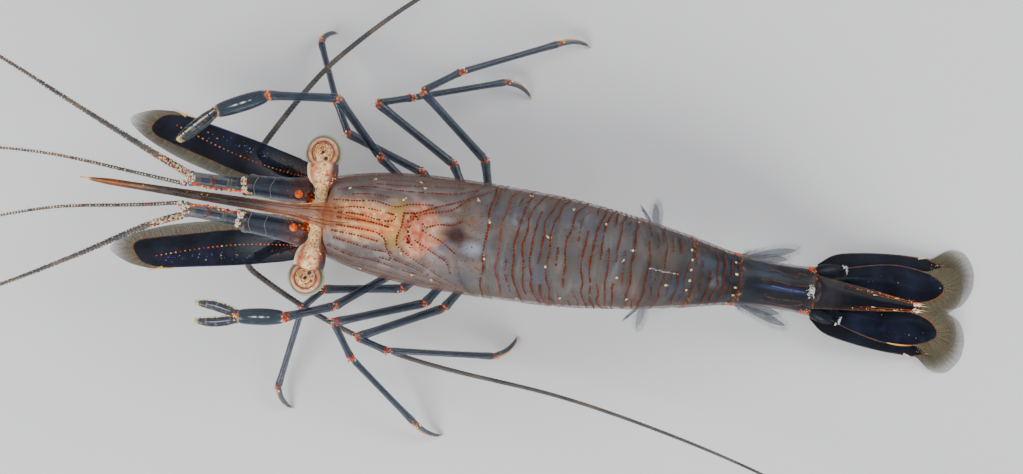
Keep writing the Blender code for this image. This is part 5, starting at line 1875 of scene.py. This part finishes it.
def build_scale(side, sign):
    """The broad flat scale beside each feeler's base."""
    draw = random.Random(f"scale{side}")
    yaw = math.radians(SCALE_YAW)
    x, y, z = SCALE_BASE
    along = (-math.cos(yaw), math.sin(yaw) * sign, 0.0)
    blade = Blade((x, y * sign, z), along, (0, sign, 0), SCALE_OUTLINE, core=SCALE_CORE)

    def amber(along, across):
        inner = smooth(0.0, -0.5, across) * smooth(2.0, 3.5, along)
        return max(smooth(8.2, 8.9, along), 0.55 * inner)

    def edge_paint(share, way):
        return mix(VIOLET, NAVY, 2 * abs(share - 0.6)), 1.0

    shape = Shape()
    add_blade(shape, blade, rib=0.02, amber=amber, paint=scale_paint)
    start, end, out = SCALE_TOOTH
    shape.add_spike(blade.point(start, out - 0.2), blade.point(end, out), 0.08, GOLD, 0.95, 0, 8)
    root, tip = blade.point(start - 0.6, out - 0.13), blade.point(start + 0.3, out - 0.1)
    shape.add_spike(root, tip, 0.04, GOLD, 0.9, 0, 6)
    edge = []
    for k in range(31):
        edge.append(blade.point(1.2 + 6.6 * k / 30, 0.93 + 0.1 * math.sin(math.pi * k / 30), 0.03))
    shape.add_tube(edge, [0.016] * 31, 5, 1, edge_paint)

    def grain(along, across, tints, sizes, height=0.02, lift=0.075, way=None):
        tint = draw.choice(tints)
        spot = blade.point(along, across, lift)
        shape.add_dot(spot, blade.normal, draw.uniform(*sizes), height, tint, 1, way)

    reds = (ORANGE, srgb(236, 110, 70), srgb(238, 150, 120), GOLD)
    glint_tints = (VIOLET, srgb(60, 90, 180), srgb(150, 110, 210), srgb(60, 120, 150), srgb(236, 150, 150))
    browns = (RUST, BROWN, AMBER, srgb(150, 64, 40))
    for k in range(34):
        share = k / 33
        across = 0.1 - 0.3 * math.sin(math.pi * share) + 0.25 * share
        grain(0.6 + 7.7 * share**1.15, across, reds, (0.03, 0.055), way=blade.along)
    # Small blue, violet and pink grains along the scale: painted glints
    for _ in range(34):
        along, across = draw.uniform(3.0, 7.8), 0.5 + draw.gauss(0, 0.14)
        grain(along, across, glint_tints, (0.015, 0.04), 0.012, 0.07, blade.along)
    for _ in range(44):
        grain(abs(draw.gauss(0.5, 0.6)) + 0.1, draw.uniform(-0.3, 0.7), browns, (0.025, 0.05))
    shape.make(f"antenna_scale_{side}", "fin grain", "fin")
    build_fringe(f"scale_fringe_{side}", blade, 0.045, draw)


def telson_paint(along, across, rim):
    """Smoky at the root, then dark blue, with a brown edge."""
    shade = mix(srgb(40, 38, 44), NAVY_DEEP, smooth(0.3, 2.5, along))
    return mix(shade, srgb(84, 56, 38), 0.4 * (1 - smooth(0.05, 0.2, rim))), 0.88


def build_tail_fan():
    """The telson with its spines, grains and the skin over its root, and the blades beside it."""
    draw = random.Random("tail fan")
    down = Vector((math.cos(FAN_SLOPE), 0.0, -math.sin(FAN_SLOPE)))
    telson = Blade(TELSON_BASE, down, (0, 1, 0), TELSON_OUTLINE)
    shape = Shape()
    add_blade(
        shape, telson, thick=0.08, arch=0.05, paint=telson_paint,
        amber=lambda along, _: 0.5 * smooth(1.5, 4.0, along),
    )

    def skin_paint(way):
        mottle = smooth(-0.1, 0.3, ripple(way.x, way.y, 0.0, 0.3, 21.0))
        return mix(srgb(40, 38, 42), srgb(96, 74, 66), 0.7 * mottle), 0.96

    shape.add_ball(Vector((27.85, 0.0, 2.75)), (0.62, 0.98, 0.24), 20, 40, 0, skin_paint)
    browns = (AMBER, RUST, srgb(190, 110, 60), CREAM)
    for k in range(30):
        across = -0.95 + 1.9 * k / 29
        back = 27.95 - 0.12 * (1 - across**2) + draw.gauss(0, 0.02)
        spot = Vector((back, across, 2.96 - 0.1 * across**2))
        shape.add_dot(spot, UP, draw.uniform(0.02, 0.045), 0.02, draw.choice(browns), 1)
    for along in (3.3, 4.6):
        for sign in (1, -1):
            root = telson.point(along, sign * 0.34, 0.12)
            shape.add_spike(root, root + down * 0.3 + UP * 0.04, 0.03, CREAM, 1.0, 1, 6)
    for across in (-0.24, -0.12, 0.12, 0.24):
        root = telson.point(6.0, across, 0.02)
        shape.add_spike(root, root + down * (0.75 if abs(across) < 0.2 else 0.5), 0.03, CREAM, 1.0, 1, 6)
    tints = (AMBER, AMBER, RUST, ORANGE, srgb(196, 130, 70), CREAM)
    for sign in (1, -1):
        add_powder(shape, telson.point(5.95, sign * 0.16, 0.08), (0.2, 0.11), draw, 40, 1)
        for line in (0.0, 0.1):
            places = [4.2 * k / 40 for k in range(41)]
            edge = [telson.point(1.6 + gone, sign * (0.60 - line - 0.078 * gone), 0.105) for gone in places]
            radii = [0.010 + 0.005 * math.sin(k * 1.9) for k in range(41)]
            shape.add_tube(edge, radii, 5, 1, telson_line_paint)
        for _ in range(56):
            along = 1.8 + 4.0 * draw.random() ** 0.7
            spot = telson.point(along, sign * (0.60 - 0.078 * (along - 1.6)) + draw.gauss(0, 0.05), 0.115)
            tint = draw.choice(tints)
            shape.add_dot(spot, UP, draw.uniform(0.012, 0.03), 0.015, tint, 1, down)
    shape.make("telson", "fin grain", "fin")
    for i, (side, sign) in enumerate(SIDES):
        build_uropod(i, side, sign)


def telson_line_paint(share, way):
    """A line that goes from brown to amber."""
    return mix(srgb(70, 42, 26), srgb(170, 96, 40), smooth(0.1, 0.7, share)), 1.0


def endopod_margin(along, across):
    """Width of the film round an inner blade: along its inner side and its end."""
    inner = smooth(0.2, -0.4, across) * smooth(4.0, 6.0, along)
    return 0.02 + 0.7 * inner + 1.1 * smooth(6.2, 7.5, along) * (1 - 0.6 * inner)


def exopod_margin(along, across):
    """Width of the film round an outer blade: only past its tooth."""
    return 0.02 + 1.45 * smooth(6.5, 7.7, along)


def endopod_amber(along, across):
    """Strength of the amber line round an inner blade."""
    return smooth(1.0, 3.0, along) * (0.45 + 0.55 * smooth(0.3, -0.4, across))


def exopod_amber(along, across):
    """Strength of the amber line round an outer blade."""
    return 0.12 + 0.88 * smooth(4.6, 6.4, along)


def build_uropod(i, side, sign):
    """The inner and outer blades on one side, the lobe that joins them to the tail, and their fringe."""
    layers = (
        ("endopod", ENDOPOD_OUTLINE, ENDOPOD_BASE, ENDOPOD_YAWS, endopod_margin, endopod_amber),
        ("exopod", EXOPOD_OUTLINE, EXOPOD_BASE, EXOPOD_YAWS, exopod_margin, exopod_amber),
    )
    for layer, (name, outline, (x, y), yaws, margin, amber) in enumerate(layers, 1):
        draw = random.Random(f"{name}{side}")
        yaw = math.radians(yaws[i])
        along = (math.cos(yaw), math.sin(yaw) * sign, -math.tan(FAN_SLOPE))
        root = (x, y * sign, TELSON_BASE[2] - layer * FAN_STEP)
        blade = Blade(root, along, (0, sign, 0), outline, margin)
        shape = Shape()
        add_blade(shape, blade, rib=0.03, droop=0.05, amber=amber)
        if name == "exopod":
            start, end, out = EXOPOD_TOOTH
            shape.add_spike(blade.point(start, out - 0.10), blade.point(end, out), 0.07, CREAM, 1.0, 1, 8)
            add_lobe(shape, sign)
            for _ in range(26):
                spot = blade.point(6.6 + draw.uniform(0, 0.9), 0.75 - 0.5 * draw.random() ** 2, 0.03)
                tint = draw.choice((CREAM, srgb(226, 206, 150), srgb(206, 130, 60)))
                shape.add_dot(spot, UP, draw.uniform(0.012, 0.026), 0.015, tint, 1)
        elif side == "left":
            gold = [blade.point(4.7 + 1.5 * k / 20, 1.17 - 0.2 * (k / 20) ** 2, 0.05) for k in range(21)]
            radii = [0.008 + 0.035 * math.sin(math.pi * (k + 0.5) / 21) ** 0.7 for k in range(21)]
            shape.add_tube(gold, radii, 8, 1, lambda share, _: (mix(srgb(255, 196, 90), AMBER, share), 1.0))
        for _ in range(9):
            spot = blade.point(draw.uniform(0.3, 0.85) * blade.length, draw.uniform(-0.3, 0.7), 0.06)
            tint = draw.choice((srgb(190, 110, 70), PALE, GOLD, srgb(80, 72, 140), srgb(50, 64, 120)))
            shape.add_dot(spot, UP, draw.uniform(0.012, 0.03), 0.02, tint, 1)
        shape.make(f"{name}_{side}", "fin grain", "fin")
        build_fringe(f"{name}_fringe_{side}", blade, 0.05, draw, droop=0.05, alpha=0.4)


def add_lobe(shape, sign):
    """The lobe at the base of a pair of tail blades, with its white patch."""
    path = smooth_path([(27.7, 0.95 * sign, 2.3), (28.5, 1.2 * sign, 2.0), (29.3, 1.45 * sign, 1.7)], 16)
    radii = [0.42 * math.sin(math.pi * (0.12 + 0.8 * k / 15)) ** 0.6 + 0.05 for k in range(16)]

    # Lighter on top than underneath: painted shade
    def paint(share, way):
        return mix(NAVY_DEEP, srgb(30, 33, 44), 0.5 + 0.5 * way.z), 0.88

    shape.add_tube(path, radii, 20, 0, paint, flat=0.8)
    draw = random.Random(f"lobe{sign}")
    for _ in range(70):
        turn = draw.uniform(-1.5, 1.0)
        x, y = 29.25 + 0.32 * math.cos(turn), (1.25 + 0.42 * math.sin(turn)) * sign
        spot = Vector((x + draw.gauss(0, 0.05), y + draw.gauss(0, 0.05), 1.98))
        size = draw.uniform(0.03, 0.07)
        shape.add_dot(spot, UP, size, 0.02, draw.choice((WHITE, srgb(170, 180, 210), PALE)), 1)


def build_paddles():
    """The paired swimming paddles under the tail, each with a stem and two narrow, bristly leaves."""
    for k, (root, way) in enumerate(PADDLES):
        for side, sign in SIDES:
            draw = random.Random(f"paddle{k}{side}")
            base = Vector((root[0], root[1] * sign, root[2] + 0.15))
            whole = Vector((way[0], way[1] * sign, way[2]))
            knee = base + whole * 0.38
            shape = Shape()
            stems = ((base + UP * 0.6, base - UP * 0.1, 0.34, 0.29), (base, knee, 0.26, 0.22))
            for start, end, first, last in stems:
                # The second colour is the stem's underside, darkened as painted shade; its edges get
                # painted highlights
                add_segment(shape, start, end, first, last, srgb(84, 94, 108), srgb(60, 68, 82))
            for spread, share in ((0.5, 0.64), (-0.5, 0.56)):
                along = (whole.normalized() + Vector((0.35, 0.25 * sign, 0)) * spread).normalized()
                size = (whole.length * share, 0.85)
                blade = Blade(knee, along, Vector((spread, sign * 0.8, 0.1)), LEAF_OUTLINE, scale=size)
                add_blade(shape, blade, thick=0.04, slot=1, paint=leaf_paint)
                add_bristles(shape, blade, draw)
            shape.make(f"paddle_{k + 1}_{side}", "glass fin strand hair", "paddle")


def add_bristles(shape, blade, draw):
    """Bristles round a paddle's leaf, but for those that would meet the floor."""
    for point, (out, _) in zip(blade.core, blade.outs):
        for _ in range(3):
            way = (blade.along * (out.x + 0.9) + blade.across * (out.y + draw.gauss(0, 0.15))).normalized()
            start = blade.point(*point)
            length = draw.uniform(0.35, 0.6)
            if start.z + way.z * length > 0.04:
                shape.add_hair(start, way, length, 0.010, srgb(132, 138, 148), 0.55, 3)


def leaf_paint(along, across, rim):
    """Clear grey-blue with faint ribs along the leaf."""
    return mix(srgb(84, 94, 110), srgb(140, 148, 160), 0.5 + 0.5 * math.sin(across * 40)), 0.5


# ---------------------------------------------------------------- colour grains on the shell
def build_grains():
    """Cream spots, dark-red grains over the heart, orange-red joint clusters and powdery white patches."""
    draw = random.Random("grains")
    shape = Shape()
    pale_gold = srgb(240, 224, 160)

    def scatter(where, angle, radius, tint):
        shape.add_dot(shell_point(where, angle, 0.006), body_normal(where, angle), radius, 0.02, tint)

    for where, side in CREAM_SPOTS:
        angle = flank_angle(where, side)
        scatter(where, angle, draw.uniform(0.05, 0.072), draw.choice((CREAM, pale_gold)))
        for _ in range(4):
            tint = draw.choice((CREAM, GOLD, pale_gold))
            spot, turn = where + draw.gauss(0, 0.06), angle + draw.gauss(0, 1.2)
            scatter(spot, turn, draw.uniform(0.015, 0.035), tint)
    for _ in range(46):
        turn, away = math.radians(draw.uniform(80, 290)), draw.uniform(0.7, 1.1)
        where, side = 5.8 + 0.9 * away * math.cos(turn), -0.1 + 0.95 * away * math.sin(turn)
        tint = draw.choice((RUST, srgb(90, 12, 12), srgb(196, 64, 40)))
        scatter(where, flank_angle(where, side), draw.uniform(0.03, 0.065), tint)
    browns = (BROWN, RUST, srgb(120, 76, 40))
    for _ in range(130):
        where, turn, size = draw.uniform(8.0, 9.4), draw.uniform(-50, 50), draw.uniform(0.018, 0.036)
        scatter(where, turn, size, draw.choice(browns))
    for edge in (20.4, 23.1):
        for _ in range(60):
            turn = draw.choice((-1, 1)) * draw.uniform(20, 80)
            tint = draw.choice((AMBER, GOLD, BROWN, RUST, srgb(190, 120, 70)))
            scatter(edge - draw.uniform(-0.12, 0.2), turn, draw.uniform(0.018, 0.036), tint)
    reds = (ORANGE, srgb(206, 60, 26))
    for where, low, sign in ((23.0, 62, 1), (23.0, 62, -1), (27.3, 52, 1), (27.3, 52, -1)):
        for _ in range(9):
            spot = where + draw.gauss(0, 0.13)
            scatter(spot, sign * (low + draw.uniform(0, 22)), draw.uniform(0.05, 0.085), draw.choice(reds))
        for _ in range(34):
            spot = where + draw.gauss(0, 0.2)
            tint = draw.choice((AMBER, RUST, srgb(200, 120, 70), CREAM))
            scatter(spot, sign * draw.uniform(low - 6, low + 40), draw.uniform(0.015, 0.035), tint)
    whites = (WHITE, PALE, srgb(200, 204, 214))
    for _ in range(90):
        where, turn, size = 27.25 + draw.gauss(0, 0.14), draw.gauss(0, 6), draw.uniform(0.015, 0.045)
        scatter(where, turn, size, draw.choice(whites))
    shape.make("colour_grains", "grain", nodes=())
    build_beads(draw)


def build_beads(draw):
    """The round orange beads on the antennules' bases, knobbly and with small grains about them."""
    shape = Shape()

    def paint(way):
        return mix(srgb(226, 70, 20), srgb(250, 150, 70), smooth(-0.1, 0.25, ripple(*way, 0.3, 3.0))), 1.0

    for _, sign in SIDES:
        centre = Vector((-1.12, 0.92 * sign, 6.3))
        shape.add_ball(centre, (0.23, 0.22, 0.20), 16, 24, 0, paint)
        for _ in range(16):
            out = any_way(draw, 0.1)
            tint = draw.choice((srgb(255, 190, 120), ORANGE, srgb(250, 130, 60)))
            shape.add_blob(centre + out * 0.205, out, draw.uniform(0.03, 0.06), 0.025, tint, 0, 7)
        for _ in range(24):
            spot = centre + Vector((draw.gauss(0.05, 0.3), draw.gauss(0, 0.3), -0.12))
            tint = draw.choice((RUST, AMBER, srgb(180, 90, 60)))
            shape.add_blob(spot, UP, draw.uniform(0.02, 0.04), 0.02, tint, 0, 6)
    shape.make("orange_beads", "grain", "limb", nodes=())


# ---------------------------------------------------------------- setting
CAMERA_TARGET = (10.71, 0.40, 5.0)  # the middle of the view, in the animal's frame
VIEW_WIDTH = 56.3
VIEW_ROLL = 8.9
CAMERA_LENS = 100.0
SENSOR = 36.0


def build_camera():
    """One camera, straight above the animal and turned a little."""
    data = bpy.data.cameras.new("camera")
    data.lens = CAMERA_LENS
    data.sensor_width = SENSOR
    distance = VIEW_WIDTH * CAMERA_LENS / SENSOR
    data.clip_start = distance * 0.05 * MM
    data.clip_end = distance * 20 * MM
    camera = add_object("camera", data)
    camera.location = place(Vector(CAMERA_TARGET) + UP * distance)
    camera.rotation_euler = (0.0, 0.0, math.radians(VIEW_ROLL))
    bpy.context.scene.camera = camera


def build_lights():
    """Three soft lamps and a pale sky."""
    lights = (
        ("key", (-60.0, -75.0, 85.0), 70.0, 0.15),
        ("fill", (85.0, 70.0, 75.0), 90.0, 0.10),
        ("rim", (60.0, -90.0, 45.0), 60.0, 0.05),
    )
    for name, spot, size, power in lights:
        data = bpy.data.lights.new(name, "AREA")
        data.shape = "DISK"
        data.size = size * MM
        data.energy = power
        light = add_object(name, data)
        light.location = place(spot)
        aim = place((10.0, 0.0, 4.0)) - light.location
        light.rotation_euler = aim.to_track_quat("-Z", "Y").to_euler()
    world = bpy.data.worlds.new("studio")
    bpy.context.scene.world = world
    world.use_nodes = True
    background = world.node_tree.nodes["Background"]
    background.inputs["Color"].default_value = (0.95, 0.96, 1.0, 1.0)
    background.inputs["Strength"].default_value = 0.62


def build_floor():
    """A broad pale floor under the animal's feet."""
    size = 1.2  # in metres, half its width
    mesh = bpy.data.meshes.new("floor")
    corners = [(-size, -size, 0.0), (size, -size, 0.0), (size, size, 0.0), (-size, size, 0.0)]
    mesh.from_pydata(corners, [], [(0, 1, 2, 3)])
    mesh.materials.append(floor_material())
    floor = add_object("floor", mesh)


def main():
    """Build everything in the scene."""
    build_camera()
    build_lights()
    build_floor()
    build_flesh()
    for plate, name in enumerate(["carapace"] + [f"tail_segment_{k}" for k in range(1, 7)]):
        build_plate(plate, name)
    build_face()
    build_rostrum()
    for i, (side, sign) in enumerate(SIDES):
        build_eye(side, sign)
        build_stalk(side, sign)
        build_antennule(i, side, sign)
        build_antenna(i, side)
        build_scale(side, sign)
        for limb in LEG_JOINTS:
            build_leg(limb, i, side)
        build_claw(i, side, Vector(LEG_JOINTS["claw_leg"][i][-1]))
    build_tail_fan()
    build_paddles()
    build_dots()
    build_grains()


main()
